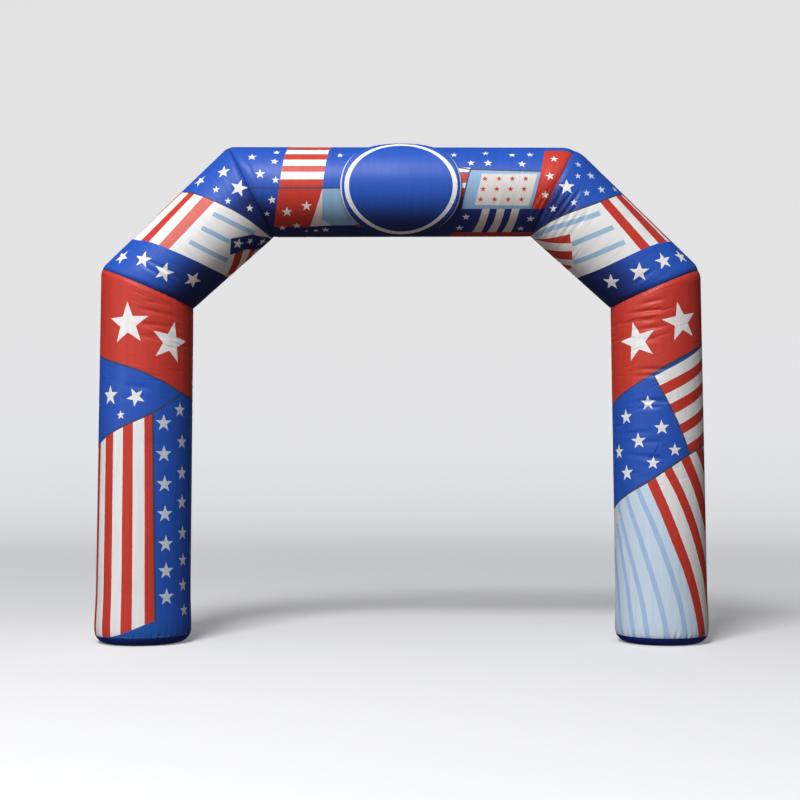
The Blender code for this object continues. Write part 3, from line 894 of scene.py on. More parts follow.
# %% Triangulate a chart
Chart = namedtuple("Chart", "places triangles inks")
MERGE_DISTANCE = 1e-5  # points of two outlines that lie closer than this become one


def counterclockwise(outline, points):
    """The same outline, turned round if it runs clockwise, because the triangulation fills to the left."""
    x, y = np.array([points[k] for k in outline]).T
    return outline if (x * np.roll(y, -1) - y * np.roll(x, -1)).sum() > 0 else outline[::-1]


def triangulate(cloud, domain, painted):
    """Triangles inside the domain, an outline of cloud points, each with the ink that was painted last."""
    points = [Vector(point) for point in cloud]
    faces = [counterclockwise(domain, points)]
    for _, outline in painted:
        first = len(points)
        points += [Vector(point) for point in outline]
        faces.append(counterclockwise(list(range(first, len(points))), points))
    found = delaunay_2d_cdt(points, [], faces, 0, MERGE_DISTANCE, True)
    kept = [(face, max(inside)) for face, inside in zip(found[2], found[5]) if 0 in inside]
    places = np.array([tuple(point) for point in found[0]])
    triangles = np.array([face for face, _ in kept])
    used, triangles = np.unique(triangles, return_inverse=True)
    inks = np.array([last for _, last in kept]) - 1
    return Chart(places[used], triangles.reshape(-1, 3), inks)


SEAM_LINE = 0.0035  # width of the dark line at each side of a mitre: the thread's groove lies in shadow
DARK_TUCK = 0.010  # a mitre that draws in less than this has no dark line
LINE_OVERLAP, LINE_POINTS = 0.02, 61


def seam_line(length, end):
    """The strip of chart beside a mitred seam, and a little past it."""
    turns = np.linspace(-0.5 * math.pi, 0.5 * math.pi, LINE_POINTS)
    radius, away = length.joints[0].radius, (1.0, -1.0)[end]
    edge = length.ends(turns)[end]
    near = [(s - LINE_OVERLAP * away, t * radius) for s, t in zip(edge, turns)]
    far = [(s + SEAM_LINE * away, t * radius) for s, t in zip(edge, turns)]
    return "seam_shadow", near + far[::-1]


def length_chart(length):
    radius = length.joints[0].radius
    turns = np.linspace(-0.5 * math.pi, 1.5 * math.pi, COLUMNS + 1)
    shares = row_shares(length)
    angle, share = (grid.ravel() for grid in np.meshgrid(turns, shares))
    first, last = length.ends(angle)
    cloud = np.stack((first + (last - first) * share, angle * radius), axis=1)
    index = np.arange(len(cloud)).reshape(len(shares), COLUMNS + 1)
    domain = [*index[0, :], *index[1:, -1], *index[-1, -2::-1], *index[-2:0:-1, 0]]
    painted = [item for shape in PRINTS[length.name] for item in outlines(shape, radius)]
    painted += [seam_line(length, end) for end, joint in enumerate(length.joints) if joint.tuck > DARK_TUCK]
    mirrored = [(ink, [(s, math.pi * radius - t) for s, t in outline]) for ink, outline in painted]
    both = [item for pair in zip(mirrored, painted) for item in pair]
    return triangulate(cloud.tolist(), [int(k) for k in domain], both), [ink for ink, _ in both]


square = [(0.0, 0.0), (1.0, 0.0), (1.0, 1.0), (0.0, 1.0)]
print("a plain square gives", len(triangulate(square, [0, 1, 2, 3], []).triangles), "triangles")

# %% [markdown]
# The chart runs once round the sleeve, from the inside of the arch back to the inside, so its two long
# edges are the same line. They are sewn together by number. The open ends get flat lids on the seams'
# planes.
#
# Painted shade: towards the inside of the arch, where the undersides fall into shade, the blue ink is
# darkened until it ends as navy. A small table says where that starts and ends at each of a length's two
# seams, from -1 outside to 1 inside.

# %% Build a body from skin and lids
# painted shade: where the blue starts and ends turning navy at each seam, from -1 outside to 1 inside
UNDERSIDE_PAINTED_SHADE = {
    "shoulder_left": ((0.00, 0.95), (-0.15, 0.40)),
    "crossbar": ((0.12, 0.60), (0.12, 0.60)),
    "shoulder_right": ((-0.20, 0.45), (0.00, 0.95)),
}
GROUND = dict(zip(NAMES, ("blue", "white", "blue", "white", "pale")))  # the ink under all shapes of a chart
UV_NAME, INK_NAME = "cloth", "ink"
ON_EDGE, SEWN_REACH = 1e-5, 5e-4  # metres: how near a point is to a chart's edge, and to its partner there
ON_SEAM = 2e-5  # share of the length


def sewn(places, width):
    """For each chart point, the point to use instead, so that the two long edges become one line."""
    use = np.arange(len(places))
    across = places[:, 1] - places[:, 1].min()
    low = np.flatnonzero(np.abs(across) < ON_EDGE)
    high = np.flatnonzero(np.abs(across - width) < ON_EDGE)
    for k in high:
        nearest = low[np.argmin(np.abs(places[low, 0] - places[k, 0]))]
        if abs(places[nearest, 0] - places[k, 0]) < SEWN_REACH:
            use[k] = nearest
    return use


def body_from(name, points, triangles, normals, uvs, colours, lids=()):
    """A mesh object with a normal for each corner. A lid is a ring of points, and the way it faces."""
    edges = points[triangles]
    facing = np.cross(edges[:, 1] - edges[:, 0], edges[:, 2] - edges[:, 0])
    turned = (facing * normals.sum(axis=1)).sum(axis=1) < 0
    triangles, uvs, normals, colours = (
        np.where(turned[:, None] if block.ndim == 2 else turned[:, None, None], block[:, ::-1], block)
        for block in (triangles, uvs, normals, colours)
    )
    faces, corner_normals = triangles.tolist(), [normals.reshape(-1, 3)]
    for ring, way in lids:
        a, b, c = points[ring[0]], points[ring[len(ring) // 3]], points[ring[2 * len(ring) // 3]]
        faces.append(ring if np.cross(b - a, c - a) @ way > 0 else ring[::-1])
        corner_normals.append(np.tile(way, (len(ring), 1)))
        uvs = np.concatenate((uvs.reshape(-1, 2), points[faces[-1]][:, :2]))
        colours = colours.reshape(-1, 4)
        colours = np.concatenate((colours, np.tile(colours[:1], (len(ring), 1))))
    data = bpy.data.meshes.new(name)
    data.from_pydata(points.tolist(), [], faces)
    data.uv_layers.new(name=UV_NAME).data.foreach_set("uv", np.ravel(uvs))
    data.attributes.new(INK_NAME, "FLOAT_COLOR", "CORNER").data.foreach_set("color", np.ravel(colours))
    data.shade_smooth()
    data.normals_split_custom_set(np.concatenate(corner_normals).tolist())
    data.update()
    return new_object(name, data)


def ink_colours(names):
    table = {name: (*linear(colour), 1.0) for name, colour in INKS.items()}
    return np.array([table[name] for name in names])


def with_painted_underside_shade(colours, names, inks, inside, start, end):
    """Colours for each corner, with painted shade: blue ink darkened to navy from one place to another."""
    share = smooth_step((inside - start) / (end - start))[..., None]
    is_blue = np.array([name == "blue" for name in names])[inks][:, None, None]
    return np.where(is_blue, colours + (ink_colours(["navy"])[0] - colours) * share, colours)


def make_length(length):
    chart, names = length_chart(length)
    radius = length.joints[0].radius
    use = sewn(chart.places, math.tau * radius)
    kept, numbers = np.unique(use, return_inverse=True)
    angle = chart.places[kept, 1] / radius
    first, last = length.ends(angle)
    share = np.clip((chart.places[kept, 0] - first) / (last - first), 0.0, 1.0)
    points, normals = skin_point(length, share, angle), skin_normal(length, share, angle)
    lids = []
    for end, way in ((0, -1.0), (1, 1.0)):
        ring = np.flatnonzero(np.abs(share - end) < ON_SEAM)
        lids.append((ring[np.argsort(angle[ring])].tolist(), way * length.seams[end][1]))
    names = [GROUND[length.name], *names]
    colours = ink_colours(names)[chart.inks + 1][:, None].repeat(3, axis=1)
    # painted shade: blue darkened towards navy at the arch's inside, where the undersides fall into shade
    if length.name in UNDERSIDE_PAINTED_SHADE:
        near, far = np.array(UNDERSIDE_PAINTED_SHADE[length.name])
        station = chart.places[chart.triangles, 0]
        start, end = (near[k] + (far[k] - near[k]) * station / length.run for k in (0, 1))
        inside = -np.sin(chart.places[chart.triangles, 1] / radius)
        colours = with_painted_underside_shade(colours, names, chart.inks + 1, inside, start, end)
    uvs = chart.places[chart.triangles]
    if length.name.startswith("leg"):
        uvs = uvs[..., ::-1]  # an upright sleeve's streaks run up and down, not round it
    triangles = numbers[chart.triangles]
    piece = body_from("printed_" + length.name, points, triangles, normals[triangles], uvs, colours, lids)
    print(f"{piece.name}: {len(piece.data.polygons)} faces")
    return piece


sleeve_pieces = {name: make_length(length) for name, length in LENGTHS.items()}

# %% [markdown]
# ## The base panels
#
# Each leg stands on a round panel of plain navy cloth. Its middle lies flat on the ground, and its rim
# rolls up to the seam, where it is gathered into the leg with the same puckers.

# %% Base panels
BASE_FLAT_RINGS = (0.25, 0.50, 0.72, 0.88, 0.96)  # shares of the flat part's radius
BASE_HEIGHTS = np.array((0.0, 0.0015, 0.004, 0.008, 0.014, 0.022, 0.031, 0.041, 0.052, 0.062, 0.071, 0.0765))
GATHERED_POWER = 1.5  # the puckers of the seam die away below it
CREASED = math.radians(50)  # edges sharper than this stay sharp
ALL_ROUND = np.linspace(0.0, math.tau, COLUMNS, endpoint=False)


def make_base(name, length, end):
    edge = skin_point(length, np.full(COLUMNS, float(end)), ALL_ROUND)
    edge[:, 2] = BASE_SEAM - 0.5 * SEAM_GAP
    middle = edge.mean(axis=0) * (1.0, 1.0, 0.0)
    spokes = (edge - middle)[:, :2]
    reach = np.linalg.norm(spokes, axis=1)
    rows = []
    for height in (*BASE_HEIGHTS, edge[0, 2]):
        gathered = (height / BASE_SEAM) ** GATHERED_POWER
        inset = roll_inset(height) - roll_inset(BASE_SEAM)
        radii = reach.mean() + (reach - reach.mean()) * gathered - inset
        rows.append(np.column_stack((spokes * (radii / reach)[:, None], np.full(COLUMNS, height))))
    flats = [rows[0] * share for share in BASE_FLAT_RINGS]
    points = np.concatenate((*flats, *rows)) + middle
    data = bpy.data.meshes.new(name)
    count = len(flats) + len(rows)
    index = np.arange(count * COLUMNS).reshape(count, COLUMNS)
    faces = [index[0].tolist(), index[-1].tolist()]
    for low, high in zip(index, index[1:]):
        faces += np.stack((low, np.roll(low, -1), np.roll(high, -1), high), axis=1).tolist()
    data.from_pydata(points.tolist(), [], faces)
    corners = [loop.vertex_index for loop in data.loops]
    data.uv_layers.new(name=UV_NAME).data.foreach_set("uv", points[corners][:, :2].ravel())
    face_outwards(data)
    data.shade_smooth()
    data.set_sharp_from_angle(angle=CREASED)
    return new_object(name, data)


def face_outwards(data):
    mesh = bmesh.new()
    mesh.from_mesh(data)
    bmesh.ops.recalc_face_normals(mesh, faces=mesh.faces)
    mesh.to_mesh(data)
    mesh.free()


base_pieces = {
    "base_left": make_base("panel_base_left", LENGTHS["leg_left"], 0),
    "base_right": make_base("panel_base_right", LENGTHS["leg_right"], 1),
}
print({name: len(piece.data.polygons) for name, piece in base_pieces.items()})

# %% [markdown]
# ## The round panel
#
# A padded disc is sewn over the middle of the crossbar. It bends with the tube, its rim rolls down to the
# sleeve, and a narrow row of stitches pulls small puckers into its edge. Inside its white rings it is plain
# blue cloth, with painted shade that darkens the blue to navy towards its underside.

# %% Shape of the round panel
PANEL_X, PANEL_ANGLE = 0.004, math.radians(-4.4)
PANEL_RADIUS, PANEL_THICKNESS, PANEL_EDGE = 0.600, 0.061, 0.042
PANEL_CROWN = 0.006
PANEL_BACK = 0.0005  # clear of the sleeve
RIM_REACH = 1e-4  # a point this near to the rim's circle is on it
BAR = LENGTHS["crossbar"]
BAR_RADIUS = JOINTS[2].radius
PANEL_BEND = BAR_RADIUS + PANEL_THICKNESS  # from the crossbar's axis to the panel's face
PANEL_GATHERS, PANEL_STRAY = 66, 0.35
PANEL_PUCKER_REACH, PANEL_PUCKER_WIDTH, PANEL_PUCKER_DEPTH = (0.030, 0.085), (0.008, 0.015), (0.0008, 0.0030)
PANEL_STITCHES_FROM_RIM = 0.030


def panel_puckers():
    chance = np.random.default_rng(21)
    stray = chance.uniform(-PANEL_STRAY, PANEL_STRAY, PANEL_GATHERS)
    ranges = PANEL_PUCKER_REACH, PANEL_PUCKER_WIDTH, PANEL_PUCKER_DEPTH
    return [
        (turn, *(chance.uniform(*limits) for limits in ranges))
        for turn in (np.arange(PANEL_GATHERS) + stray) * math.tau / PANEL_GATHERS
    ]


PANEL_PUCKERS = panel_puckers()


def panel_height(x, y):
    distance = np.hypot(x, y)
    lift = np.clip((PANEL_RADIUS - distance) / PANEL_EDGE, 0.0, 1.0)
    height = (PANEL_THICKNESS - PANEL_BACK) * np.sqrt(np.maximum(1.0 - (1.0 - lift) ** 2, 0.0))
    height += PANEL_CROWN * smooth_step(1.0 - distance / (PANEL_RADIUS - PANEL_EDGE))
    turn = np.arctan2(y, x)
    for centre, reach, half_width, depth in PANEL_PUCKERS:
        aside = turn_between(turn, centre) * PANEL_RADIUS
        from_stitches = PANEL_RADIUS - PANEL_STITCHES_FROM_RIM - distance
        height -= depth * bell(aside, half_width) * bell(from_stitches, reach) * (lift > 0)
    return np.maximum(height, 0.0) + PANEL_BACK


def panel_point(x, y, height):
    """Wraps a point of the flat panel over the crossbar."""
    middle = np.stack((PANEL_X + x, np.zeros_like(x), np.full_like(x, JOINTS[2].z)), axis=-1)
    return middle + panel_spoke(y) * (BAR_RADIUS + height)[..., None]


def panel_spoke(y):
    return BAR.spoke(PANEL_ANGLE + y / PANEL_BEND)


def panel_face(x, y):
    return panel_point(x, y, panel_height(x, y))


def panel_normal(x, y, nudge=0.0015):
    """Normals from the slope of the face, and at the rim from just inside it."""
    pull = np.minimum(1.0, (PANEL_RADIUS - RIM_REACH) / np.maximum(np.hypot(x, y), RIM_REACH))
    x, y = x * pull, y * pull
    across = panel_face(x + nudge, y) - panel_face(x - nudge, y)
    up = panel_face(x, y + nudge) - panel_face(x, y - nudge)
    normal = np.cross(across, up)
    normal /= np.linalg.norm(normal, axis=1)[:, None]
    return normal * np.sign((normal * panel_spoke(y)).sum(axis=1))[:, None]


print("round panel:", PANEL_GATHERS, "puckers round its edge")

# %% [markdown]
# The panel is triangulated like a chart, with two white rings cut into it. The narrow one follows the rim.
# The wide one is drawn so that it looks like an even ellipse from straight ahead, although the cloth bends
# away from the eye.

# %% Cut and bend the round panel
PANEL_RINGS = (("white", 0.594), ("blue", 0.579), ("white", 0.553), ("blue", 0.507))  # outer radii
WIDE_RING_END, WIDE_RING_SQUEEZE = 0.56, 0.985
# painted shade: where the panel's blue starts and ends turning navy, towards its underside
PANEL_PAINTED_SHADE = 0.15, 0.90
FACE_STEP, RIM_STEP, ROLL_START = 0.012, 0.009, 0.545
FACE_RADII = np.arange(FACE_STEP, ROLL_START, FACE_STEP)
RIM_RADII = (*np.arange(ROLL_START, 0.596, 0.005), 0.5975, 0.5993)  # close rows, where the face rolls down


def circle(radius, step=RIM_STEP):
    turns = np.arange(round(math.tau * radius / step)) * step / radius
    turns *= math.tau / (len(turns) * step / radius)
    return [(radius * math.cos(turn), radius * math.sin(turn)) for turn in turns]


def ring(radius):
    """An outline of the print: a circle near the rim, and farther in one that looks even from ahead."""
    if radius > WIDE_RING_END:
        return circle(radius)
    tall = PANEL_BEND * math.sin(WIDE_RING_SQUEEZE * radius / PANEL_BEND)
    return [(x, PANEL_BEND * math.asin(tall * y / (radius * PANEL_BEND))) for x, y in circle(radius)]


def make_round_panel():
    rim = circle(PANEL_RADIUS)
    circles = [circle(radius, FACE_STEP) for radius in FACE_RADII] + [circle(radius) for radius in RIM_RADII]
    cloud = [*rim, (0.0, 0.0), *(point for points in circles for point in points)]
    chart = triangulate(cloud, list(range(len(rim))), [(ink, ring(radius)) for ink, radius in PANEL_RINGS])
    x, y = chart.places.T
    count = len(x)
    front = panel_face(x, y)
    back = panel_point(x, y, np.full(count, PANEL_BACK))
    on_rim = np.hypot(x, y) > PANEL_RADIUS - RIM_REACH
    behind = np.where(on_rim, np.arange(count), np.arange(count) + count)
    front[on_rim] = back[on_rim]
    away = panel_spoke(y)
    normals = np.concatenate((panel_normal(x, y)[chart.triangles], -away[chart.triangles]))
    triangles = np.concatenate((chart.triangles, behind[chart.triangles]))
    names = ["blue", *(ink for ink, _ in PANEL_RINGS)]
    inks = np.concatenate((chart.inks + 1, np.zeros(len(chart.inks), int)))
    # painted shade: the blue darkens to navy towards the panel's underside
    inside = -np.sin(PANEL_ANGLE + np.tile(y[chart.triangles], (2, 1)) / PANEL_BEND)
    colours = ink_colours(names)[inks][:, None].repeat(3, axis=1)
    colours = with_painted_underside_shade(colours, names, inks, inside, *PANEL_PAINTED_SHADE)
    uvs = np.concatenate((chart.places[chart.triangles],) * 2)
    points = np.concatenate((front, back))
    return body_from("round_panel", points, triangles, normals, uvs, colours)


panel_piece = make_round_panel()
print("round panel:", len(panel_piece.data.polygons), "faces")

# %% [markdown]
# ## Stitches with Geometry Nodes
#
# A lockstitch seam shows as a dotted line of thread beside the join. Hundreds of equal stitches along a
# path are just what Geometry Nodes are for: a path becomes a curve, the curve is sampled at an even
# spacing, and a small spindle is set on each point, in line with the path. Real stitches here are about
# four millimetres long and half a millimetre thick. That would vanish on a six-metre object, so they are
# drawn three to five times as coarse.

# %% A tree that sews
def node(tree, kind, inputs=(), **settings):
    """Adds a node. Its settings are properties; each input is a value or another node's output."""
    made = tree.nodes.new(kind)
    for name, value in settings.items():
        setattr(made, name, value)
    for name, value in dict(inputs).items():
        if isinstance(value, bpy.types.NodeSocket):
            tree.links.new(value, made.inputs[name])
        else:
            made.inputs[name].default_value = value
    return made


def stitch_tree(thread):
    tree = bpy.data.node_groups.new("stitches_along_a_path", "GeometryNodeTree")
    tree.interface.new_socket("Path", in_out="INPUT", socket_type="NodeSocketGeometry")
    for name in ("Spacing", "Stitch length", "Thread thickness"):
        tree.interface.new_socket(name, in_out="INPUT", socket_type="NodeSocketFloat")
    tree.interface.new_socket("Stitches", in_out="OUTPUT", socket_type="NodeSocketGeometry")
    given = node(tree, "NodeGroupInput").outputs
    curve = node(tree, "GeometryNodeMeshToCurve", {"Mesh": given["Path"]})
    resample = {"Curve": curve.outputs[0], "Length": given["Spacing"]}
    points = node(tree, "GeometryNodeResampleCurve", resample, mode="LENGTH")
    spindle = node(tree, "GeometryNodeMeshUVSphere", {"Segments": 6, "Rings": 4, "Radius": 0.5})
    size = {"X": given["Stitch length"], "Y": given["Thread thickness"], "Z": given["Thread thickness"]}
    scale = node(tree, "ShaderNodeCombineXYZ", size)
    drawn = node(tree, "GeometryNodeTransform", {"Geometry": spindle.outputs[0], "Scale": scale.outputs[0]})
    tangent = node(tree, "GeometryNodeInputTangent")
    turn = node(tree, "FunctionNodeAlignRotationToVector", {"Vector": tangent.outputs[0]}, axis="X")
    placed = {"Points": points.outputs[0], "Instance": drawn.outputs[0], "Rotation": turn.outputs[0]}
    stitches = node(tree, "GeometryNodeInstanceOnPoints", placed)
    real = node(tree, "GeometryNodeRealizeInstances", {"Geometry": stitches.outputs[0]})
    round_ones = node(tree, "GeometryNodeSetShadeSmooth", {"Geometry": real.outputs[0]})
    finished = node(tree, "GeometryNodeSetMaterial", {"Geometry": round_ones.outputs[0], "Material": thread})
    node(tree, "NodeGroupOutput", {"Stitches": finished.outputs[0]})
    return tree


def sew(name, paths, tree, **sizes):
    """Stitches along closed paths of points, as one plain mesh."""
    points, edges = [], []
    for path in paths:
        first = len(points)
        points += path.tolist()
        edges += [(first + k, first + (k + 1) % len(path)) for k in range(len(path))]
    data = bpy.data.meshes.new(name)
    data.from_pydata(points, edges, [])
    guide = new_object(name + "_guide", data)
    modifier = guide.modifiers.new("sew", "NODES")
    modifier.node_group = tree
    sockets = {item.name: item.identifier for item in tree.interface.items_tree if item.in_out == "INPUT"}
    for size, value in sizes.items():
        modifier[sockets[size.replace("_", " ").capitalize()]] = value
    evaluated = guide.evaluated_get(bpy.context.evaluated_depsgraph_get())
    piece = new_object(name, bpy.data.meshes.new_from_object(evaluated))
    bpy.data.objects.remove(guide, do_unlink=True)
    print(f"{name}: {len(piece.data.polygons)} faces")
    return piece


print("the stitch trees are built below, once their thread has a material")

# %% [markdown]
# ## Materials
#
# The sleeve is **polyester taffeta, dye-sublimated, with a polyurethane coating inside**. Its threads are
# half a millimetre apart and lie flat, so it has a satin gloss and hardly any texture from far away. Each
# ink's colour comes from the mesh. On top come four things that the eye knows from such cloth: the weave,
# thin gather streaks, painted shade that darkens the ink in the streaks' hollows, and a gloss that is not the
# same all over. The streaks run round the crossbar and the sloping lengths, and up and down the legs and the
# round panel.

# %% Printed polyester
THREAD_PITCH = 0.005  # 0.5 mm on the real cloth, which can't show, so it is drawn ten times as coarse
STREAKS_ACROSS, STREAKS_ALONG = 22.0, 1.3  # the noise's waves for each metre, across and along the streaks
CALM_PLACES = (0.9, 2.2, 1.0)  # the same for the broad noise that says where the cloth is calm
WAVE_RADIANS = 20.0  # a wave texture turns by this much for each unit, at scale 1


def new_material(name, **sockets):
    material = bpy.data.materials.new(name)
    material.use_nodes = True
    shader = material.node_tree.nodes["Principled BSDF"]
    for socket, value in sockets.items():
        shader.inputs[socket.replace("_", " ")].default_value = value
    return material, material.node_tree, shader


def weave(tree, place, pitch):
    """How high the threads stand: bands both ways."""
    bands = {"Vector": place, "Scale": math.tau / (WAVE_RADIANS * pitch)}
    warp = node(tree, "ShaderNodeTexWave", bands, bands_direction="X").outputs["Fac"]
    weft = node(tree, "ShaderNodeTexWave", bands, bands_direction="Y").outputs["Fac"]
    return node(tree, "ShaderNodeMath", {0: warp, 1: weft}, operation="ADD").outputs[0]


def printed_polyester():
    """The streaks are noise that a mapping squeezes: many waves for each metre one way, few the other way."""
    material, tree, shader = new_material("polyester_taffeta_dye_sublimated", Specular_IOR_Level=0.33)
    cloth = node(tree, "ShaderNodeUVMap", uv_map=UV_NAME).outputs[0]
    ink = node(tree, "ShaderNodeAttribute", attribute_name=INK_NAME).outputs["Color"]
    # gathers: long thin streaks, strong in some places and calm in others
    squeezed = {"Vector": cloth, "Scale": (STREAKS_ACROSS, STREAKS_ALONG, 1.0)}
    narrow = node(tree, "ShaderNodeMapping", squeezed).outputs[0]
    threadlike = {"Vector": narrow, "Scale": 1.0, "Detail": 4.0, "Roughness": 0.6}
    streaks = node(tree, "ShaderNodeTexNoise", threadlike).outputs[0]
    broad = node(tree, "ShaderNodeMapping", {"Vector": cloth, "Scale": CALM_PLACES}).outputs[0]
    places = node(tree, "ShaderNodeTexNoise", {"Vector": broad, "Scale": 1.0, "Detail": 2.0}).outputs[0]
    calm = {"Value": places, "From Min": 0.35, "From Max": 0.65, "To Min": 0.25, "To Max": 1.0}
    slack = node(tree, "ShaderNodeMapRange", calm).outputs[0]
    gathers = node(tree, "ShaderNodeMath", {0: streaks, 1: slack}, operation="MULTIPLY").outputs[0]
    soft = node(tree, "ShaderNodeBump", {"Strength": 0.6, "Distance": 0.008, "Height": gathers}).outputs[0]
    fine = {"Strength": 0.25, "Distance": 0.0004, "Height": weave(tree, cloth, THREAD_PITCH), "Normal": soft}
    tree.links.new(node(tree, "ShaderNodeBump", fine).outputs[0], shader.inputs["Normal"])
    # painted shade: the ink is darker in the streaks' hollows and a little lighter on their crests
    streak_shade = {"Value": streaks, "From Min": 0.3, "From Max": 0.7, "To Min": 0.93, "To Max": 1.06}
    shade = {"Color": ink, "Value": node(tree, "ShaderNodeMapRange", streak_shade).outputs[0]}
    tree.links.new(node(tree, "ShaderNodeHueSaturation", shade).outputs[0], shader.inputs["Base Color"])
    # gloss: rubbed in some places
    rubbed = {"Value": places, "From Min": 0.3, "From Max": 0.7, "To Min": 0.42, "To Max": 0.54}
    tree.links.new(node(tree, "ShaderNodeMapRange", rubbed).outputs[0], shader.inputs["Roughness"])
    return material


POLYESTER = printed_polyester()
for piece in (*sleeve_pieces.values(), panel_piece):
    piece.data.materials.append(POLYESTER)
print(POLYESTER.name, "on", len(sleeve_pieces) + 1, "pieces")

# %% [markdown]
# The base panels are **coated polyester canvas**, heavier than the sleeve and matt, because they scrape
# over the ground. The scuffs are paler and rougher, and lie where the cloth touches it. The thread is
# **bonded polyester thread**, with a waxy gloss.

# %% Base cloth and thread
CANVAS_PITCH = 0.006  # 0.8 mm on the real canvas, so this is drawn about eight times as coarse


def base_canvas():
    material, tree, shader = new_material("polyester_canvas_coated", Specular_IOR_Level=0.3)
    place = node(tree, "ShaderNodeTexCoord").outputs["Object"]
    # scuffs: noise, only near the ground
    rough = {"Vector": place, "Scale": 14.0, "Detail": 6.0, "Roughness": 0.7}
    marks = node(tree, "ShaderNodeTexNoise", rough).outputs[0]
    height = node(tree, "ShaderNodeSeparateXYZ", {"Vector": place}).outputs["Z"]
    near = {"Value": height, "From Min": 0.0, "From Max": 0.045, "To Min": 1.0, "To Max": 0.0}
    low = node(tree, "ShaderNodeMapRange", near).outputs[0]
    rubbed = {"Value": marks, "From Min": 0.52, "From Max": 0.66, "To Min": 0.0, "To Max": 0.55}
    worn = node(tree, "ShaderNodeMapRange", rubbed).outputs[0]
    scuffed = node(tree, "ShaderNodeMath", {0: low, 1: worn}, operation="MULTIPLY").outputs[0]
    colours = {"Factor": scuffed, 6: (*linear("#0e2c84"), 1.0), 7: (*linear("#44548c"), 1.0)}
    colour = node(tree, "ShaderNodeMix", colours, data_type="RGBA").outputs[2]
    tree.links.new(colour, shader.inputs["Base Color"])
    matt = {"Value": scuffed, "From Min": 0.0, "From Max": 0.5, "To Min": 0.50, "To Max": 0.75}
    tree.links.new(node(tree, "ShaderNodeMapRange", matt).outputs[0], shader.inputs["Roughness"])
    fine = {"Strength": 0.3, "Distance": 0.0006, "Height": weave(tree, place, CANVAS_PITCH)}
    tree.links.new(node(tree, "ShaderNodeBump", fine).outputs[0], shader.inputs["Normal"])
    return material


def sewing_thread(name, colour):
    material, tree, shader = new_material(name, Roughness=0.35)
    place = node(tree, "ShaderNodeTexCoord").outputs["Object"]
    ply = node(tree, "ShaderNodeTexNoise", {"Vector": place, "Scale": 300.0, "Detail": 1.0}).outputs[0]
    twisted = {"Value": ply, "From Min": 0.3, "From Max": 0.7, "To Min": 0.85, "To Max": 1.1}
    shade = {"Color": (*linear(colour), 1.0), "Value": node(tree, "ShaderNodeMapRange", twisted).outputs[0]}
    tree.links.new(node(tree, "ShaderNodeHueSaturation", shade).outputs[0], shader.inputs["Base Color"])
    return material


CANVAS = base_canvas()
for piece in base_pieces.values():
    piece.data.materials.append(CANVAS)
DARK_THREAD = sewing_thread("bonded_polyester_thread_navy", "#1c2748")
PALE_THREAD = sewing_thread("bonded_polyester_thread_grey", "#aeb4c4")
print(CANVAS.name, DARK_THREAD.name, PALE_THREAD.name)

# %% [markdown]
# Each mitred seam has a row of stitches on both its sides, a finger's width from the join. The base seams
# and the round panel have one row.

# %% Sew the seams
STITCH_FROM_SEAM, PANEL_STITCH_RADIUS = 0.013, 0.571
STITCH_SIZES = {"spacing": 0.016, "stitch_length": 0.011, "thread_thickness": 0.0026}


def seam_row(name, end):
    """A row of points on the skin beside one of a length's seams."""
    length = LENGTHS[name]
    first, last = length.ends(ALL_ROUND)
    share = STITCH_FROM_SEAM / (last - first)
    return skin_point(length, share if end == 0 else 1.0 - share, ALL_ROUND)


def panel_row(radius):
    return panel_face(radius * np.cos(ALL_ROUND), radius * np.sin(ALL_ROUND))


mitre_rows = [seam_row(name, 1) for name in NAMES[:-1]] + [seam_row(name, 0) for name in NAMES[1:]]
base_rows = [seam_row(NAMES[0], 0), seam_row(NAMES[-1], 1)]
dark_sewing, pale_sewing = stitch_tree(DARK_THREAD), stitch_tree(PALE_THREAD)
threads = {
    "printed_sleeve": [sew("thread_mitre_seams", mitre_rows, dark_sewing, **STITCH_SIZES)],
    "base_panel": [sew("thread_base_seams", base_rows, pale_sewing, **STITCH_SIZES)],
    "badge_panel": [sew("thread_round_panel", [panel_row(PANEL_STITCH_RADIUS)], dark_sewing, **STITCH_SIZES)],
}

# %% [markdown]
# ## Studio
#
# The photograph's light comes from above and a little from the left, and it is soft: tops are bright,
# undersides fall off, and the right sides of the legs are darker. A broad lamp high in front does most of
# it, a weak one fills in from the left, and a low one lights the back. A pale sheet runs along the floor
# and up into a round wall. It glows a little, as a sheet with its own lamps does.

# %% Pale sheet, lamps and sky
SHEET_MIDDLE, SHEET_FLAT, SHEET_BEND, SHEET_TOP, SHEET_SIDES = 3.0, 21.0, 7.0, 34.0, 96
GLOW = (6.0, 0.18), (27.0, 0.50)  # metres from the middle, and how strongly the sheet glows there
LAMP_AIM = Vector((0.0, 0.0, 2.5))  # half the arch's height


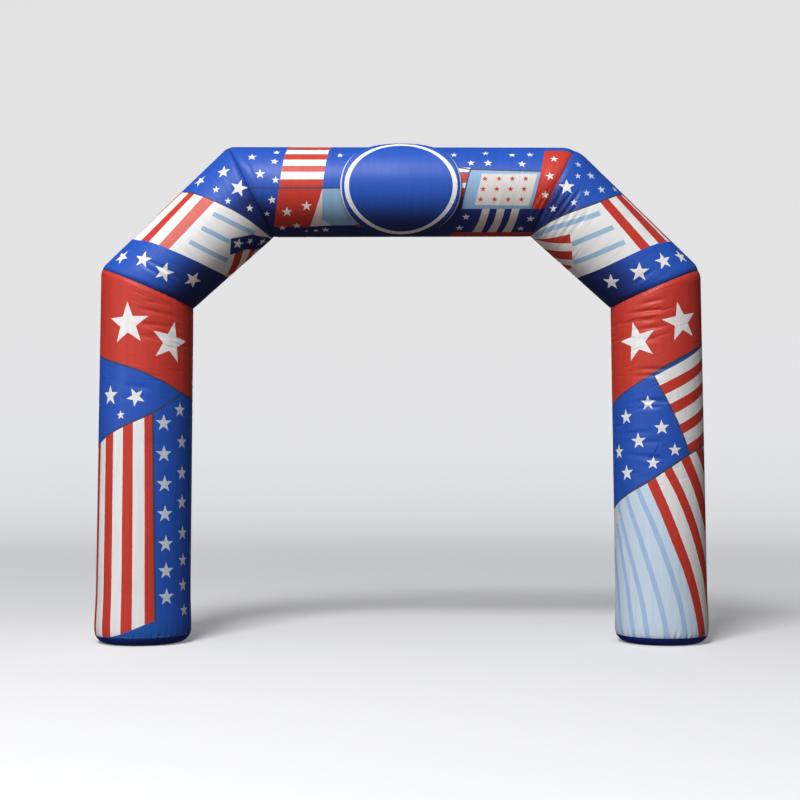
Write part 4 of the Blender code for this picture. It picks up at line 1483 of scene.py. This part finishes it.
def make_sheet():
    """A round floor that curves up into a wall, so that it lies behind the arch in every view."""
    profile = [(SHEET_MIDDLE, 0.0), (SHEET_FLAT, 0.0)]
    for turn in np.linspace(0.0, 0.5 * math.pi, 13)[1:]:
        profile.append((SHEET_FLAT + SHEET_BEND * math.sin(turn), SHEET_BEND - SHEET_BEND * math.cos(turn)))
    profile.append((SHEET_FLAT + SHEET_BEND, SHEET_TOP))
    turns = np.linspace(0.0, math.tau, SHEET_SIDES, endpoint=False)
    circle_x, circle_y = np.cos(turns), np.sin(turns)
    rings = [np.column_stack((r * circle_x, r * circle_y, np.full(SHEET_SIDES, z))) for r, z in profile]
    index = np.arange(len(rings) * SHEET_SIDES).reshape(len(rings), SHEET_SIDES)
    faces = [index[0].tolist()]
    for low, high in zip(index, index[1:]):
        faces += np.stack((low, high, np.roll(high, -1), np.roll(low, -1)), axis=1).tolist()
    data = bpy.data.meshes.new("pale_sheet")
    data.from_pydata(np.concatenate(rings).tolist(), [], faces)
    data.shade_smooth()
    sheet = new_object("pale_sheet", data)
    material, tree, shader = new_material("painted_studio_paper", Roughness=0.9, Specular_IOR_Level=0.0)
    shader.inputs["Base Color"].default_value = (*linear("#d8d8d9"), 1.0)
    shader.inputs["Emission Color"].default_value = (*linear("#f6f7f9"), 1.0)
    place = node(tree, "ShaderNodeTexCoord").outputs["Object"]
    distance = node(tree, "ShaderNodeVectorMath", {"Vector": place}, operation="LENGTH").outputs["Value"]
    (near, dim), (far, bright) = GLOW
    lit = {"Value": distance, "From Min": near, "From Max": far, "To Min": dim, "To Max": bright}
    tree.links.new(node(tree, "ShaderNodeMapRange", lit).outputs[0], shader.inputs["Emission Strength"])
    data.materials.append(material)
    # black flags beside the arch keep the sheet's light away from it
    sheet.visible_diffuse = sheet.visible_glossy = sheet.visible_shadow = False
    return sheet


def lamp(name, turn, height, far, size, brightness):
    """A soft box, turned so many degrees to the right of the camera's side and so many degrees up.

    Its brightness is what a white card gives back when it faces the lamp.
    """
    turn, height = math.radians(turn), math.radians(height)
    away = Vector((math.sin(turn) * math.cos(height), -math.cos(turn) * math.cos(height), math.sin(height)))
    light = bpy.data.lights.new(name, "AREA")
    light.shape, light.size, light.size_y = "RECTANGLE", *size
    light.energy = brightness * (math.pi * far) ** 2
    thing = new_object(name, light)
    thing.location = LAMP_AIM + far * away
    thing.rotation_euler = away.to_track_quat("Z", "Y").to_euler()
    thing.visible_camera = False
    return thing


def keep_off(light, thing):
    """The light doesn't fall on the thing: a flag stands between them."""
    flagged = bpy.data.collections.new(light.name + "_is_kept_off")
    flagged.objects.link(thing)
    flagged.collection_objects[0].light_linking.link_state = "EXCLUDE"
    light.light_linking.receiver_collection = flagged


sheet = make_sheet()
lamp("key", turn=-20.0, height=46.0, far=25.0, size=(8.0, 8.0), brightness=1.07)
lamp("fill_left", turn=-58.0, height=10.0, far=22.0, size=(7.0, 9.0), brightness=0.13)
back_light = lamp("back_light", turn=178.0, height=5.0, far=20.0, size=(9.0, 9.0), brightness=0.62)
back_light.visible_glossy = False  # its glint would edge the front with white
keep_off(back_light, sheet)


def make_world():
    """Weak light from all round: strongest from the front, cool from above, warm and weaker from below."""
    world = bpy.data.worlds.new("studio_air")
    world.use_nodes = True
    tree = world.node_tree
    way = node(tree, "ShaderNodeTexCoord").outputs["Generated"]
    parts = node(tree, "ShaderNodeSeparateXYZ", {"Vector": way}).outputs
    depth = {"Value": parts["Y"], "From Min": -1.0, "From Max": 0.6, "To Min": 0.27, "To Max": 0.06}
    height = {"Value": parts["Z"], "From Min": -0.6, "From Max": 0.6, "To Min": 0.0, "To Max": 1.0}
    rise = node(tree, "ShaderNodeMapRange", height).outputs[0]
    floor = {"Value": parts["Z"], "From Min": -0.1, "From Max": 0.1, "To Min": 0.75, "To Max": 1.0}
    above = node(tree, "ShaderNodeMapRange", floor).outputs[0]
    strength = {0: node(tree, "ShaderNodeMapRange", depth).outputs[0], 1: above}
    hues = {"Factor": rise, 6: (*linear("#ffeedd"), 1.0), 7: (*linear("#eef3fc"), 1.0)}
    background = tree.nodes["Background"]
    hue = node(tree, "ShaderNodeMix", hues, data_type="RGBA").outputs[2]
    tree.links.new(hue, background.inputs["Color"])
    strong = node(tree, "ShaderNodeMath", strength, operation="MULTIPLY").outputs[0]
    tree.links.new(strong, background.inputs["Strength"])
    return world


bpy.context.scene.world = make_world()
bpy.context.scene.view_settings.view_transform = "Standard"

# %% [markdown]
# ## Onto the model's body
#
# Every piece rides on the model's one body, and the solid it stands for is hidden.

# %% Ride, and hide the solids
for name, piece in (*sleeve_pieces.items(), *base_pieces.items(), ("badge", panel_piece)):
    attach(piece, "root")
    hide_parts(name)
    slot = "base_panel" if name.startswith("base") else "badge_panel" if name == "badge" else "printed_sleeve"
for slot, sewn_pieces in threads.items():
    for piece in sewn_pieces:
        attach(piece, "root")
